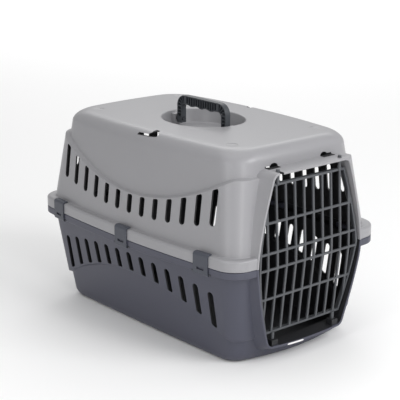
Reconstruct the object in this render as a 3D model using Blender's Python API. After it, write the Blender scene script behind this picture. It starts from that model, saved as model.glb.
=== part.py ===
"""Pet transport carrier: two moulded shells, a lattice door, a folding handle and rim clips.

Metres, +Z up. The origin is on the ground under the middle of the carrier, the door faces -Y and
X is the width. Each piece is one closed body, and each moving piece has its origin on its hinge.
"""

from math import atan2, copysign, cos, pi, radians, sin

import bmesh
import bpy
from mathutils import Matrix, Vector

MM = 0.001
GAP = 0.3 * MM  # left between touching pieces
WALL = 2.6 * MM

# Rim where the two shells meet: plan outline with bowed sides and round corners
RIM_HALF_LENGTH = 230.0 * MM
RIM_HALF_WIDTH = 143.7 * MM
RIM_END_BOW = 5.8 * MM  # at the door end; the rear end is flatter by REAR_BOW_SHARE
REAR_BOW_SHARE = 0.52
RIM_SIDE_BOW = 14.5 * MM
RIM_CORNER = 27.0 * MM
SEAM_Z = 150.5 * MM
RIM_TOP_Z = 167.0 * MM
RIM_BOTTOM_Z = 139.5 * MM
RIM_FLANGE = 10.3 * MM  # how far the walls stand in from the rim's outer face
RIM_EDGE = 1.4 * MM

# Walls: they lean in away from the rim, and a curved step line runs along them
UPPER_DRAFT = 0.117
LOWER_DRAFT = 0.126
UPPER_STEP = 5.5 * MM
LOWER_STEP = 4.0 * MM
STEP_DROP = 2.0 * MM
UPPER_STEP_MIDDLE_Z = 216.5 * MM
UPPER_STEP_END_Z = 270.0 * MM
LOWER_STEP_MIDDLE_Z = 93.5 * MM
LOWER_STEP_END_Z = 38.5 * MM
STEP_HALF_LENGTH = 198.0 * MM
STEP_ROUNDS = 6
TOP_Z = 309.0 * MM
TOP_CROWN = 2.0 * MM
TOP_EDGE_Z = 288.0 * MM
TOP_EDGE_WIDTH = 22.0 * MM
BASE_EDGE_Z = 14.0 * MM
BASE_EDGE_INSET = 28.9 * MM
BASE_INSET = 39.0 * MM
BASE_SIDE_BOW = 2.0 * MM
BASE_END_BOW = 18.0 * MM
BASE_END_INSET = 8.7 * MM  # the ends stand further in than the sides near the ground
BASE_END_HEIGHT = 60.0 * MM
WALL_CORNER = 26.0 * MM
TOP_CORNER = 32.0 * MM
BASE_CORNER = 18.0 * MM

# Vent slots: each one is cut short by the step line
SLOT_PITCH = 28.7 * MM
SIDE_SLOTS = 13
REAR_SLOTS = 7
SLOT_WIDTH = 10.6 * MM
REAR_SLOT_WIDTH = 12.0 * MM
REAR_SLOT_BOTTOM_Z = 206.0 * MM
LEFT_UPPER_ROW_SHIFT = -1.5 * MM  # how far a side row stands towards the rear
LEFT_LOWER_ROW_SHIFT = 2.5 * MM
RIGHT_ROW_SHIFT = 6.0 * MM
SLOT_CUT = (82.0 * MM, 175.0 * MM)  # from inside the side walls to outside them
REAR_SLOT_CUT = (165.0 * MM, 250.0 * MM)
SLOT_LIP = 1.6 * MM
UPPER_SLOT_BOTTOM_Z = 187.2 * MM
LOWER_SLOT_TOP_Z = 125.0 * MM
SLOT_END_SHIFT = 17.5 * MM  # how far the row of round slot ends has risen or sunk at SLOT_ROW_END
SLOT_ROW_END = 172.0 * MM

# Door opening, and the collar around it
OPENING_HALF_WIDTH = 100.8 * MM
OPENING_WAIST_Z = 150.0 * MM
OPENING_TAPER = 27.0 * MM
OPENING_TAPER_HEIGHT = 119.0 * MM
OPENING_TAPER_POWER = 1.45
OPENING_TOP_Z = 276.5 * MM
OPENING_BOTTOM_Z = 26.3 * MM
OPENING_CORNER = 9.0 * MM
LIP_Y = -234.0 * MM
LIP_LEAN_Z = 130.0 * MM
LIP_LEAN = 0.073
LIP_WIDTH = 3.5 * MM
SILL_BOW = 6.4 * MM  # how far the middle of the sill stands forward of its ends
SILL_HALF_WIDTH = 76.0 * MM
COLLAR_ROOT = 3.9 * MM
COLLAR_INNER = 1.5 * MM  # how far the collar reaches into the opening before that is cut
COLLAR_FLARE_SIDE = 9.0 * MM
COLLAR_FLARE_UP = 5.0 * MM
COLLAR_FLARE_DOWN = 16.0 * MM

# Door: a flat lattice, bent slightly across its middle
BAR_PITCH = 17.85 * MM
BAR_WIDTH = 3.5 * MM
BARS_EACH_SIDE = 5
DOOR_THICKNESS = 3.0 * MM
DOOR_FRAME_DEPTH = 7.0 * MM
DOOR_GAP = 3.2 * MM
CROSSBAR_HEIGHTS = [z * MM for z in (45.5, 99.0, 143.6, 167.0, 210.0, 262.0)]
DOOR_BEND_Z = 150.0 * MM
DOOR_BEND_Y = -231.6 * MM
DOOR_LEAN_ABOVE = 0.055
DOOR_LEAN_BELOW = 0.11
DOOR_PIN_X = 60.7 * MM
DOOR_PIN_LOW_Y = -219.8 * MM  # the pins lean forward with the door
DOOR_PIN_HIGH_Y = -225.3 * MM
DOOR_PIN_RADIUS = 2.7 * MM
DOOR_PIN_TOP_Z = 283.5 * MM
DOOR_PIN_BOTTOM_Z = 23.0 * MM
PIN_HOLE_RADIUS = DOOR_PIN_RADIUS + GAP + 0.1 * MM
PIN_BLOCK_TOP_Z = 35.0 * MM
PIN_BLOCK_HALF = 6.0 * MM

# Windows in the front wall just over the collar, one beside each door pin
WINDOW_X = (40.0 * MM, 57.0 * MM)
WINDOW_Z = (279.5 * MM, 281.5 * MM, 287.5 * MM)  # its sill, where the arch starts, and its top
WINDOW_SLIT_X = 75.0 * MM
WINDOW_SLIT_Z = (280.5 * MM, 283.0 * MM)
WINDOW_CUT = (-224.0 * MM, -196.0 * MM)

# Handle, its two pins and the recess that it folds into
HANDLE_PIVOT_Z = 299.0 * MM
HANDLE_TOP_Z = 337.0 * MM
HANDLE_HALF_LENGTH = 56.0 * MM
HANDLE_HALF_WIDTH = 4.8 * MM
HANDLE_LEG = 10.5 * MM
HANDLE_CORNER = 17.0 * MM
GRIP_UNDERSIDE_Z = 323.5 * MM
GRIP_SCALLOP = 2.0 * MM
SCALLOP_PITCH = 22.0 * MM
FOOT_BELOW_PIVOT = 6.0 * MM
HANDLE_PIN_RADIUS = 3.0 * MM
HANDLE_PIN_COLLAR = 5.0 * MM
HANDLE_PIN_COLLAR_WIDTH = 2.4 * MM
HANDLE_PIN_END = 67.0 * MM
PIVOT_BOSS_END = 74.0 * MM
PIVOT_BOSS_HALF = 7.0 * MM
PIVOT_BOSS_TOP_Z = 305.5 * MM
GRIP_INNER_CORNER = 7.0 * MM
RECESS_HALF_LENGTH = 71.0 * MM
RECESS_HALF_WIDTH = 59.0 * MM
RECESS_TAPER = 6.0 * MM
RECESS_FLOOR_Z = 287.5 * MM

# Rim clips: (rim side, place along it)
SIDE_CLIP_PLACES = {"front": -170.0 * MM, "middle": 0.0, "rear": 170.0 * MM}
REAR_CLIP_PLACE = 98.0 * MM
CLIP_WIDTH = 28.0 * MM
CLIP_PIVOT_OUT = -1.0 * MM
CLIP_PIVOT_Z = 140.8 * MM
CLIP_BARREL = 3.2 * MM
CLIP_PLATE_IN = 1.4 * MM
CLIP_HOOK_REACH = 6.0 * MM
CLIP_HOOK_UNDER_Z = 167.5 * MM
CLIP_TOP_Z = 169.4 * MM
CLIP_PIN_RADIUS = 1.5 * MM
POCKET_WIDTH = 29.0 * MM
POCKET_DEPTH = 4.2 * MM
PIN_SOCKET_DEPTH = 4.0 * MM
BOSS_HALF_WIDTH = 22.0 * MM
BOSS_DEPTH = 9.2 * MM
FINGER_SLOT_HALF = 6.75 * MM

# Strap holes beside the top edge, and the blank plate on the sill
STRAP_HOLE_LENGTH = 40.0 * MM
STRAP_HOLE_Z = 302.8 * MM
STRAP_HOLE_PLACES = (-16.0 * MM, 6.0 * MM)  # middles of the -X and the +X hole
STRAP_HOLE_CUT = (104.0 * MM, 140.0 * MM)
LABEL_LENGTH = 30.0 * MM
LABEL_HEIGHT = 2.4 * MM
LABEL_THICKNESS = 0.6 * MM
LABEL_STEPS = 4
LABEL_X = -26.0 * MM

CORNER_STEPS = 5
SIDE_STEPS = 14
END_STEPS = 8
EDGE_STEPS = 4
OPENING_STEPS = 14
ROUND_STEPS = 16


def clear_scene():
    for existing in list(bpy.data.objects):
        bpy.data.objects.remove(existing, do_unlink=True)


def plastic(name, colour, roughness):
    """A matte moulded plastic."""
    material = bpy.data.materials.new(name)
    material.use_nodes = True
    shader = material.node_tree.nodes["Principled BSDF"]
    shader.inputs["Base Color"].default_value = (*colour, 1.0)
    shader.inputs["Roughness"].default_value = roughness
    shader.inputs["Metallic"].default_value = 0.0
    return material


def piece(name, mesh_data, material, place=None):
    """An object for one piece, from (points, faces), with flat areas and round ones shaded apart."""
    points, faces = mesh_data
    mesh = bpy.data.meshes.new(name)
    bm = bmesh.new()
    corners = [bm.verts.new(point) for point in points]
    for face in faces:
        bm.faces.new([corners[index] for index in face])
    bmesh.ops.recalc_face_normals(bm, faces=bm.faces)
    bm.to_mesh(mesh)
    bm.free()
    mesh.shade_smooth()
    mesh.set_sharp_from_angle(angle=radians(32))
    if material:
        mesh.materials.append(material)
    thing = bpy.data.objects.new(name, mesh)
    bpy.context.scene.collection.objects.link(thing)
    thing.matrix_world = place or Matrix.Identity(4)
    return thing


def combine(target, name, mesh_data, operation, place=None):
    """Adds or takes away one shape: a hidden helper and a Boolean on the target."""
    helper = piece(f"{target.name}_{name}", mesh_data, None, place)
    helper.hide_render = True
    helper.display_type = "WIRE"
    modifier = target.modifiers.new(name, "BOOLEAN")
    modifier.operation = operation
    modifier.object = helper
    modifier.solver = "EXACT"


def merged(shapes):
    """Several separate shapes as one (points, faces)."""
    points = []
    faces = []
    for shape_points, shape_faces in shapes:
        start = len(points)
        points += shape_points
        faces += [[start + index for index in face] for face in shape_faces]
    return points, faces


def moved(shape, matrix):
    points, faces = shape
    return [matrix @ Vector(point) for point in points], faces


def bridge(rings, closed_ends=True):
    """Joins rings of equal count with quads, and caps the first and last ring."""
    count = len(rings[0])
    points = [point for ring in rings for point in ring]
    faces = []
    for level in range(len(rings) - 1):
        for k in range(count):
            after = (k + 1) % count
            low = level * count
            high = low + count
            faces.append([low + k, low + after, high + after, high + k])
    if closed_ends:
        faces.append(list(range(count))[::-1])
        faces.append([len(points) - count + k for k in range(count)])
    return points, faces


def prism(outline, axis, low, high):
    """An outline pushed along X, Y or Z from low to high. It is (y, z), (x, z) or (x, y)."""
    def at(point, depth):
        first, second = point
        return {"X": (depth, first, second), "Y": (first, depth, second), "Z": (first, second, depth)}[axis]

    return bridge([[at(point, low) for point in outline], [at(point, high) for point in outline]])


def box(x, y, z):
    """A block from three (low, high) pairs."""
    return prism([(x[0], y[0]), (x[1], y[0]), (x[1], y[1]), (x[0], y[1])], "Z", z[0], z[1])


def circle(centre, radius, steps=ROUND_STEPS):
    turns = [2 * pi * (k + 0.5) / steps for k in range(steps)]
    return [(centre[0] + radius * cos(turn), centre[1] + radius * sin(turn)) for turn in turns]


def arc(centre, radius, start, end, steps):
    """Points from start to end, in degrees."""
    turns = [radians(start + (end - start) * k / steps) for k in range(steps + 1)]
    return [(centre[0] + radius * cos(turn), centre[1] + radius * sin(turn)) for turn in turns]


# Plan loops of the shells -----------------------------------------------------------------------


def plan_stations():
    """(across, along, out_x, out_y) for each point of a plan loop, anticlockwise.

    A point stands at across and along times the half size less the corner radius, plus the corner
    radius times (out_x, out_y). So loops of any size have the same points, in the same order.
    """
    stations = []
    for across, along, start in ((1, -1, -90), (1, 1, 0), (-1, 1, 90), (-1, -1, 180)):
        for out_x, out_y in arc((0, 0), 1, start, start + 90, CORNER_STEPS):
            stations.append((across, along, out_x, out_y))
        on_side = start in (-90, 90)
        steps = SIDE_STEPS if on_side else END_STEPS
        for k in range(1, steps):
            share = 1 - 2 * k / steps
            if on_side:
                stations.append((across, along * share, out_x, 0))
            else:
                stations.append((across * share, along, 0, out_y))
    return stations


STATIONS = plan_stations()


def plan_point(station, inset, corner, side_bow, end_bow=RIM_END_BOW, end_inset=0):
    across, along, out_x, out_y = station
    half_width = RIM_HALF_WIDTH - inset
    half_length = RIM_HALF_LENGTH - inset - end_inset
    x = across * (half_width - corner) + corner * out_x
    y = along * (half_length - corner) + corner * out_y
    bowed_x = x + copysign(side_bow * (1 - (y / half_length) ** 2), x)
    end_share = REAR_BOW_SHARE if y > 0 else 1
    bowed_y = y + copysign(end_share * end_bow * (1 - (x / half_width) ** 2), y)
    return bowed_x, bowed_y


def blend(start, end, share):
    return start + (end - start) * min(1, max(0, share))


def level_ring(z, inset, corner=RIM_CORNER, side_bow=RIM_SIDE_BOW, end_bow=RIM_END_BOW):
    return [(*plan_point(station, inset, corner, side_bow, end_bow), z) for station in STATIONS]


def upper_step_z(y):
    rise = UPPER_STEP_END_Z - UPPER_STEP_MIDDLE_Z
    return UPPER_STEP_MIDDLE_Z + rise * min(1, (y / STEP_HALF_LENGTH) ** 2)


def lower_step_z(y):
    drop = LOWER_STEP_MIDDLE_Z - LOWER_STEP_END_Z
    return LOWER_STEP_MIDDLE_Z - drop * min(1, (y / STEP_HALF_LENGTH) ** 2)


def upper_inset(z):
    return RIM_FLANGE + UPPER_DRAFT * (z - RIM_TOP_Z)


def lower_inset(z):
    return RIM_FLANGE + LOWER_DRAFT * (RIM_BOTTOM_Z - z)


def upper_corner(z):
    return blend(WALL_CORNER, TOP_CORNER, (z - RIM_TOP_Z) / (TOP_EDGE_Z - RIM_TOP_Z))


def lower_side_bow(z):
    return blend(BASE_SIDE_BOW, RIM_SIDE_BOW, z / RIM_BOTTOM_Z)


def base_share(z):
    """1 on the ground, 0 above the part of the ends that turns in."""
    return max(0, 1 - z / BASE_END_HEIGHT) ** 2


def lower_end_bow(z):
    return blend(RIM_END_BOW, BASE_END_BOW, 0.2 * (1 - z / RIM_BOTTOM_Z) + 0.8 * base_share(z))


def lower_corner(z):
    return blend(BASE_CORNER, WALL_CORNER, z / RIM_BOTTOM_Z)


def upper_step_height(station):
    """The upper step line's height at a station, found again a few times from its own place."""
    z = UPPER_STEP_MIDDLE_Z
    for _ in range(STEP_ROUNDS):
        z = upper_step_z(plan_point(station, upper_inset(z), upper_corner(z), RIM_SIDE_BOW)[1])
    return z


def lower_step_height(station):
    z = LOWER_STEP_MIDDLE_Z
    for _ in range(STEP_ROUNDS):
        z = lower_step_z(lower_point(station, z, lower_inset(z))[1])
    return z


def upper_step_ring(extra, lift):
    """A ring on the upper step line: extra further in, lift above the line."""
    ring = []
    for station in STATIONS:
        z = upper_step_height(station)
        x, y = plan_point(station, upper_inset(z) + extra, upper_corner(z), RIM_SIDE_BOW)
        ring.append((x, y, z + lift))
    return ring


def lower_point(station, z, inset):
    end_inset = BASE_END_INSET * base_share(z)
    return plan_point(station, inset, lower_corner(z), lower_side_bow(z), lower_end_bow(z), end_inset)


def lower_step_ring(extra, drop):
    ring = []
    for station in STATIONS:
        z = lower_step_height(station)
        inset = lower_inset(z) + extra
        ring.append((*lower_point(station, z, inset), z - drop))
    return ring


def lower_ring(z, inset, extra=0):
    return [(*lower_point(station, z, inset), z + extra) for station in STATIONS]


def top_z(x, y):
    """The crowned top: highest in the middle, lower to the ends and sides."""
    return TOP_Z - TOP_CROWN * (y / RIM_HALF_LENGTH) ** 2 - TOP_CROWN * (x / RIM_HALF_WIDTH) ** 2


def recess_ring(z, shrink):
    """An oval ring whose points face those of the plan loops."""
    ring = []
    for across, along in [plan_point(s, 0, RIM_CORNER, 0, 0) for s in STATIONS]:
        turn = atan2(along / RIM_HALF_LENGTH, across / RIM_HALF_WIDTH)
        x = (RECESS_HALF_WIDTH - shrink) * cos(turn)
        y = (RECESS_HALF_LENGTH - shrink) * sin(turn)
        ring.append((x, y, top_z(x, y) if z is None else z))
    return ring


# Door opening -----------------------------------------------------------------------------------


def opening_half_width(z):
    height = abs(z - OPENING_WAIST_Z)
    return OPENING_HALF_WIDTH - OPENING_TAPER * (height / OPENING_TAPER_HEIGHT) ** OPENING_TAPER_POWER


def rounded_corner(before, corner, after, radius, steps=4):
    """Replaces a corner by an arc of about this radius, as points."""
    corner = Vector(corner)
    back = (Vector(before) - corner).normalized()
    ahead = (Vector(after) - corner).normalized()
    half_turn = back.angle(ahead) / 2
    reach = radius / (sin(half_turn) / cos(half_turn))
    centre = corner + (back + ahead).normalized() * radius / sin(half_turn)
    first = corner + back * reach - centre
    last = corner + ahead * reach - centre
    start = atan2(first.y, first.x)
    turn = (atan2(last.y, last.x) - start + pi) % (2 * pi) - pi
    turns = [start + turn * k / steps for k in range(steps + 1)]
    return [(centre.x + radius * cos(a), centre.y + radius * sin(a)) for a in turns]


def opening_outline():
    """The opening as (x, z) points, anticlockwise from the bottom right."""
    bottom = OPENING_BOTTOM_Z
    top = OPENING_TOP_Z
    heights = [bottom + (top - bottom) * k / OPENING_STEPS for k in range(OPENING_STEPS + 1)]
    right = [(opening_half_width(z), z) for z in heights]
    low_corner = rounded_corner((0, bottom), right[0], right[1], OPENING_CORNER)
    high_corner = rounded_corner(right[-2], right[-1], (0, top), OPENING_CORNER)
    side = low_corner + right[1:-1] + high_corner
    return side + [(-x, z) for x, z in reversed(side)]


def lip_y(x, z):
    """The collar's front face: it leans back below, and the sill is bowed forward."""
    bow = SILL_BOW * max(0, 1 - (x / SILL_HALF_WIDTH) ** 2) if z < LOWER_STEP_END_Z else 0
    return LIP_Y + LIP_LEAN * max(0, LIP_LEAN_Z - z) - bow


def front_wall_y(x, z):
    """A depth just behind the front wall, so that the collar passes through it."""
    if z > SEAM_Z:
        inset = upper_inset(z) + blend(0, UPPER_STEP, (z - UPPER_STEP_END_Z) / STEP_DROP)
        bow = RIM_END_BOW
    else:
        inset = lower_inset(z) + blend(0, LOWER_STEP, (LOWER_STEP_END_Z - z) / STEP_DROP)
        inset += BASE_END_INSET * base_share(z)
        bow = lower_end_bow(z)
    half_width = RIM_HALF_WIDTH - inset
    return -(RIM_HALF_LENGTH - inset + bow * (1 - (x / half_width) ** 2)) + COLLAR_ROOT


def collar(upper):
    """Half of the collar: a section swept along the opening's outline, with flat ends at the seam."""
    outline = opening_outline()
    count = len(outline)
    seam_z = SEAM_Z + (GAP / 2 if upper else -GAP / 2)
    seam_x = opening_half_width(seam_z)
    clear = 4 * MM
    if upper:
        inside = [k for k in range(count) if outline[k][1] > seam_z + clear]
    else:
        inside = [k for k in range(count) if outline[k][1] < seam_z - clear]
        inside = [k for k in inside if outline[k][0] < 0] + [k for k in inside if outline[k][0] > 0]
    ends = [(seam_x, seam_z), (-seam_x, seam_z)] if upper else [(-seam_x, seam_z), (seam_x, seam_z)]
    path = [ends[0]] + [outline[k] for k in inside] + [ends[1]]
    rings = []
    for k, (x, z) in enumerate(path):
        before = Vector(path[max(0, k - 1)])
        after = Vector(path[min(len(path) - 1, k + 1)])
        along = (after - before).normalized()
        out = Vector((along.y, -along.x))
        if k in (0, len(path) - 1):
            out = Vector((copysign(1, x), 0))
        lip = lip_y(x, z)
        flare_z = COLLAR_FLARE_UP if upper else COLLAR_FLARE_DOWN
        outer = (x + out.x * LIP_WIDTH, z + out.y * LIP_WIDTH)
        inner = (x - out.x * COLLAR_INNER, z - out.y * COLLAR_INNER)
        base = (x + out.x * COLLAR_FLARE_SIDE, z + out.y * flare_z)
        rings.append([(outer[0], lip, outer[1]), (inner[0], lip, inner[1]),
                      (inner[0], front_wall_y(*inner), inner[1]), (base[0], front_wall_y(*base), base[1])])
    return bridge(rings)


# Shells -----------------------------------------------------------------------------------------


def edge_profile(inset, z, width, height, steps):
    """(inset, z) points of a rounded edge: a quarter ellipse, the wall's end first."""
    quarter = arc((0, 0), 1, 0, 90, steps)
    return [(inset + width * (1 - c), z + height * s) for c, s in quarter]


def crowned(ring, z, low_z, high_z):
    """Lowers a ring by the top's crown, in proportion to its place between low_z and high_z."""
    share = (z - low_z) / (high_z - low_z)
    return [(x, y, z - (TOP_Z - top_z(x, y)) * share) for x, y, z in ring]


def upper_shell_body():
    step_inset = upper_inset(TOP_EDGE_Z) + UPPER_STEP
    edge = edge_profile(step_inset, TOP_EDGE_Z, TOP_EDGE_WIDTH, TOP_Z - TOP_EDGE_Z, EDGE_STEPS)
    rings = [recess_ring(RECESS_FLOOR_Z, RECESS_TAPER), recess_ring(None, 0)]
    for inset, z in reversed(edge):
        rings.append(crowned(level_ring(z, inset, TOP_CORNER), z, TOP_EDGE_Z, TOP_Z))
    rings += [upper_step_ring(UPPER_STEP, STEP_DROP), upper_step_ring(0, 0)]
    flange_z = RIM_TOP_Z - RIM_EDGE
    under_z = flange_z - WALL
    rings += [level_ring(flange_z, RIM_FLANGE, WALL_CORNER), level_ring(RIM_TOP_Z, 2 * RIM_EDGE),
              level_ring(RIM_TOP_Z - RIM_EDGE / 2, RIM_EDGE / 2), level_ring(RIM_TOP_Z - 2 * RIM_EDGE, 0),
              level_ring(SEAM_Z + GAP / 2, 0), level_ring(SEAM_Z + GAP / 2, WALL),
              level_ring(under_z, WALL), level_ring(under_z, RIM_FLANGE + WALL, WALL_CORNER)]
    rings += [upper_step_ring(WALL, 0), upper_step_ring(UPPER_STEP + WALL, STEP_DROP)]
    low_z = TOP_EDGE_Z - WALL / 2
    high_z = TOP_Z - WALL
    inner_edge = edge_profile(step_inset + WALL, low_z, TOP_EDGE_WIDTH - WALL, high_z - low_z, EDGE_STEPS)
    for inset, z in inner_edge:
        rings.append(crowned(level_ring(z, inset, TOP_CORNER - WALL), z, low_z, high_z))
    rings += [[(x, y, top_z(x, y) - WALL) for x, y, _ in recess_ring(None, -WALL)],
              recess_ring(RECESS_FLOOR_Z - WALL, RECESS_TAPER - WALL)]
    return bridge(rings)


def lower_shell_body():
    edge = edge_profile(0, 0, BASE_INSET - BASE_EDGE_INSET, BASE_EDGE_Z, EDGE_STEPS - 1)
    rings = []
    for width, height in reversed(edge):
        rings.append(lower_ring(BASE_EDGE_Z - height, BASE_EDGE_INSET + width))
    rings += [lower_step_ring(LOWER_STEP, STEP_DROP), lower_step_ring(0, 0)]
    rings += [lower_ring(RIM_BOTTOM_Z, RIM_FLANGE), level_ring(RIM_BOTTOM_Z, RIM_EDGE),
              level_ring(RIM_BOTTOM_Z + RIM_EDGE, 0), level_ring(SEAM_Z - GAP / 2, 0),
              level_ring(SEAM_Z - GAP / 2, WALL), level_ring(RIM_BOTTOM_Z + WALL, WALL),
              lower_ring(RIM_BOTTOM_Z, RIM_FLANGE + WALL, WALL)]
    rings += [lower_step_ring(WALL, 0), lower_step_ring(LOWER_STEP + WALL, STEP_DROP)]
    inside_share = 1 - WALL / BASE_EDGE_Z
    for width, height in edge:
        rings.append(lower_ring(BASE_EDGE_Z - height * inside_share, BASE_EDGE_INSET + WALL + width))
    return bridge(rings)


def slot_outline(middle, width, round_z, cut_at):
    """One slot as (along, z): a round end at round_z, and a far end that follows the step line."""
    half = width / 2
    turn = copysign(1, cut_at(middle) - round_z)
    round_end = [(middle + half * cos(a), round_z + turn * (half + half * sin(a)))
                 for a in (pi + pi * k / 6 for k in range(7))]
    lip = -turn * SLOT_LIP
    cut_end = [(middle + half, cut_at(middle + half) + lip), (middle - half, cut_at(middle - half) + lip)]
    return round_end + cut_end


def vent_slots(upper):
    """All slots of one shell as one cutter: a row on each side, and one at the rear of the upper shell."""
    step_z = upper_step_z if upper else lower_step_z
    base_z = UPPER_SLOT_BOTTOM_Z if upper else LOWER_SLOT_TOP_Z
    away = 1 if upper else -1
    left_shift = LEFT_UPPER_ROW_SHIFT if upper else LEFT_LOWER_ROW_SHIFT
    slots = []
    for side, shift in ((-1, left_shift), (1, RIGHT_ROW_SHIFT)):
        depth = sorted(side * reach for reach in SLOT_CUT)
        for k in range(SIDE_SLOTS):
            y = (k - (SIDE_SLOTS - 1) / 2) * SLOT_PITCH + shift
            round_z = base_z + away * SLOT_END_SHIFT * (y / SLOT_ROW_END) ** 2
            slots.append(prism(slot_outline(y, SLOT_WIDTH, round_z, step_z), "X", *depth))
    if upper:
        end_z = step_z(SLOT_ROW_END)
        for k in range(REAR_SLOTS):
            x = (k - (REAR_SLOTS - 1) / 2) * SLOT_PITCH
            outline = slot_outline(x, REAR_SLOT_WIDTH, REAR_SLOT_BOTTOM_Z, lambda place: end_z)
            slots.append(prism(outline, "Y", *REAR_SLOT_CUT))
    return merged(slots)


# Rim clips --------------------------------------------------------------------------------------


def rim_frames():
    """Clip name to its frame: origin on the clip's hinge, X along the rim, Y outwards, Z up."""
    frames = {}
    for side, side_name in ((-1, "left"), (1, "right")):
        for place_name, y in SIDE_CLIP_PLACES.items():
            x = RIM_HALF_WIDTH + RIM_SIDE_BOW * (1 - (y / RIM_HALF_LENGTH) ** 2)
            out = Vector((side, 2 * RIM_SIDE_BOW * y / RIM_HALF_LENGTH**2, 0)).normalized()
            frames[f"clip_{side_name}_{place_name}"] = (Vector((side * x, y, 0)), out)
        x = side * REAR_CLIP_PLACE
        bow = RIM_END_BOW * REAR_BOW_SHARE
        y = RIM_HALF_LENGTH + bow * (1 - (x / RIM_HALF_WIDTH) ** 2)
        out = Vector((2 * bow * x / RIM_HALF_WIDTH**2, 1, 0)).normalized()
        frames[f"clip_rear_{side_name}"] = (Vector((x, y, 0)), out)
    matrices = {}
    for name, (origin, out) in frames.items():
        along = out.cross(Vector((0, 0, 1)))
        pivot = origin + out * CLIP_PIVOT_OUT + Vector((0, 0, CLIP_PIVOT_Z))
        turn = Matrix((along, out, Vector((0, 0, 1)))).transposed().to_4x4()
        matrices[name] = Matrix.Translation(pivot) @ turn
    return matrices


def clip_outline():
    """The clip's section as (out, up) from its hinge: barrel, plate and the hook over the rim."""
    top = CLIP_TOP_Z - CLIP_PIVOT_Z
    under = CLIP_HOOK_UNDER_Z - CLIP_PIVOT_Z
    chamfer = 0.8 * MM
    barrel = arc((0, 0), CLIP_BARREL, 64, 360, 12)
    return barrel + [(CLIP_BARREL, top - chamfer), (CLIP_BARREL - chamfer, top), (-CLIP_HOOK_REACH, top),
                     (-CLIP_HOOK_REACH, under), (CLIP_PLATE_IN, under)]


def make_clips(lower_shell, slate, pin_plastic):
    half = CLIP_WIDTH / 2
    pocket_half = POCKET_WIDTH / 2
    hole_radius = CLIP_PIN_RADIUS + GAP
    bosses = []
    pockets = []
    for name, matrix in rim_frames().items():
        clip = piece(name, prism(clip_outline(), "X", -half, half), slate, matrix)
        combine(clip, "pin_hole", prism(circle((0, 0), hole_radius), "X", -half - MM, half + MM),
                "DIFFERENCE", matrix)
        slot = box((-FINGER_SLOT_HALF, FINGER_SLOT_HALF), (0, 6 * MM), (4.8 * MM, 8.0 * MM))
        combine(clip, "finger_slot", slot, "DIFFERENCE", matrix)
        pin_half = pocket_half + PIN_SOCKET_DEPTH - GAP
        piece(f"{name}_pin", prism(circle((0, 0), CLIP_PIN_RADIUS), "X", -pin_half, pin_half),
              pin_plastic, matrix)
        boss = box((-BOSS_HALF_WIDTH, BOSS_HALF_WIDTH), (-BOSS_DEPTH, 0), (-1.2 * MM, 8.5 * MM))
        bosses.append(moved(boss, matrix))
        pockets.append(moved(box((-pocket_half, pocket_half), (-POCKET_DEPTH, 8 * MM),
                                 (-8 * MM, POCKET_DEPTH)), matrix))
        socket_half = pocket_half + PIN_SOCKET_DEPTH
        pockets.append(moved(prism(circle((0, 0), hole_radius), "X", -socket_half, socket_half), matrix))
    combine(lower_shell, "clip_bosses", merged(bosses), "UNION")
    combine(lower_shell, "clip_pockets", merged(pockets[0::2]), "DIFFERENCE")
    combine(lower_shell, "pin_sockets", merged(pockets[1::2]), "DIFFERENCE")


# Handle -----------------------------------------------------------------------------------------


def handle_outline():
    """The handle's side view as (y, z - pivot): legs, round shoulders and a scalloped grip."""
    top = HANDLE_TOP_Z - HANDLE_PIVOT_Z
    under = GRIP_UNDERSIDE_Z - HANDLE_PIVOT_Z
    foot = -FOOT_BELOW_PIVOT
    inner = HANDLE_HALF_LENGTH - HANDLE_LEG
    outer = arc((HANDLE_HALF_LENGTH - HANDLE_CORNER, top - HANDLE_CORNER), HANDLE_CORNER, 0, 90, 6)
    corner_middle = (inner - GRIP_INNER_CORNER, under - GRIP_INNER_CORNER)
    inner_corner = arc(corner_middle, GRIP_INNER_CORNER, 90, 0, 3)
    places = [k * SCALLOP_PITCH / 4 for k in range(-6, 7)]
    wave = [(y, under - GRIP_SCALLOP * cos(pi * y / SCALLOP_PITCH) ** 2) for y in places]
    right = [(HANDLE_HALF_LENGTH, foot)] + outer
    left = [(-y, z) for y, z in reversed(outer)] + [(-HANDLE_HALF_LENGTH, foot)]
    left_inside = [(-inner, foot)] + [(-y, z) for y, z in reversed(inner_corner)]
    return right + left + left_inside + wave + inner_corner + [(inner, foot)]


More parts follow.
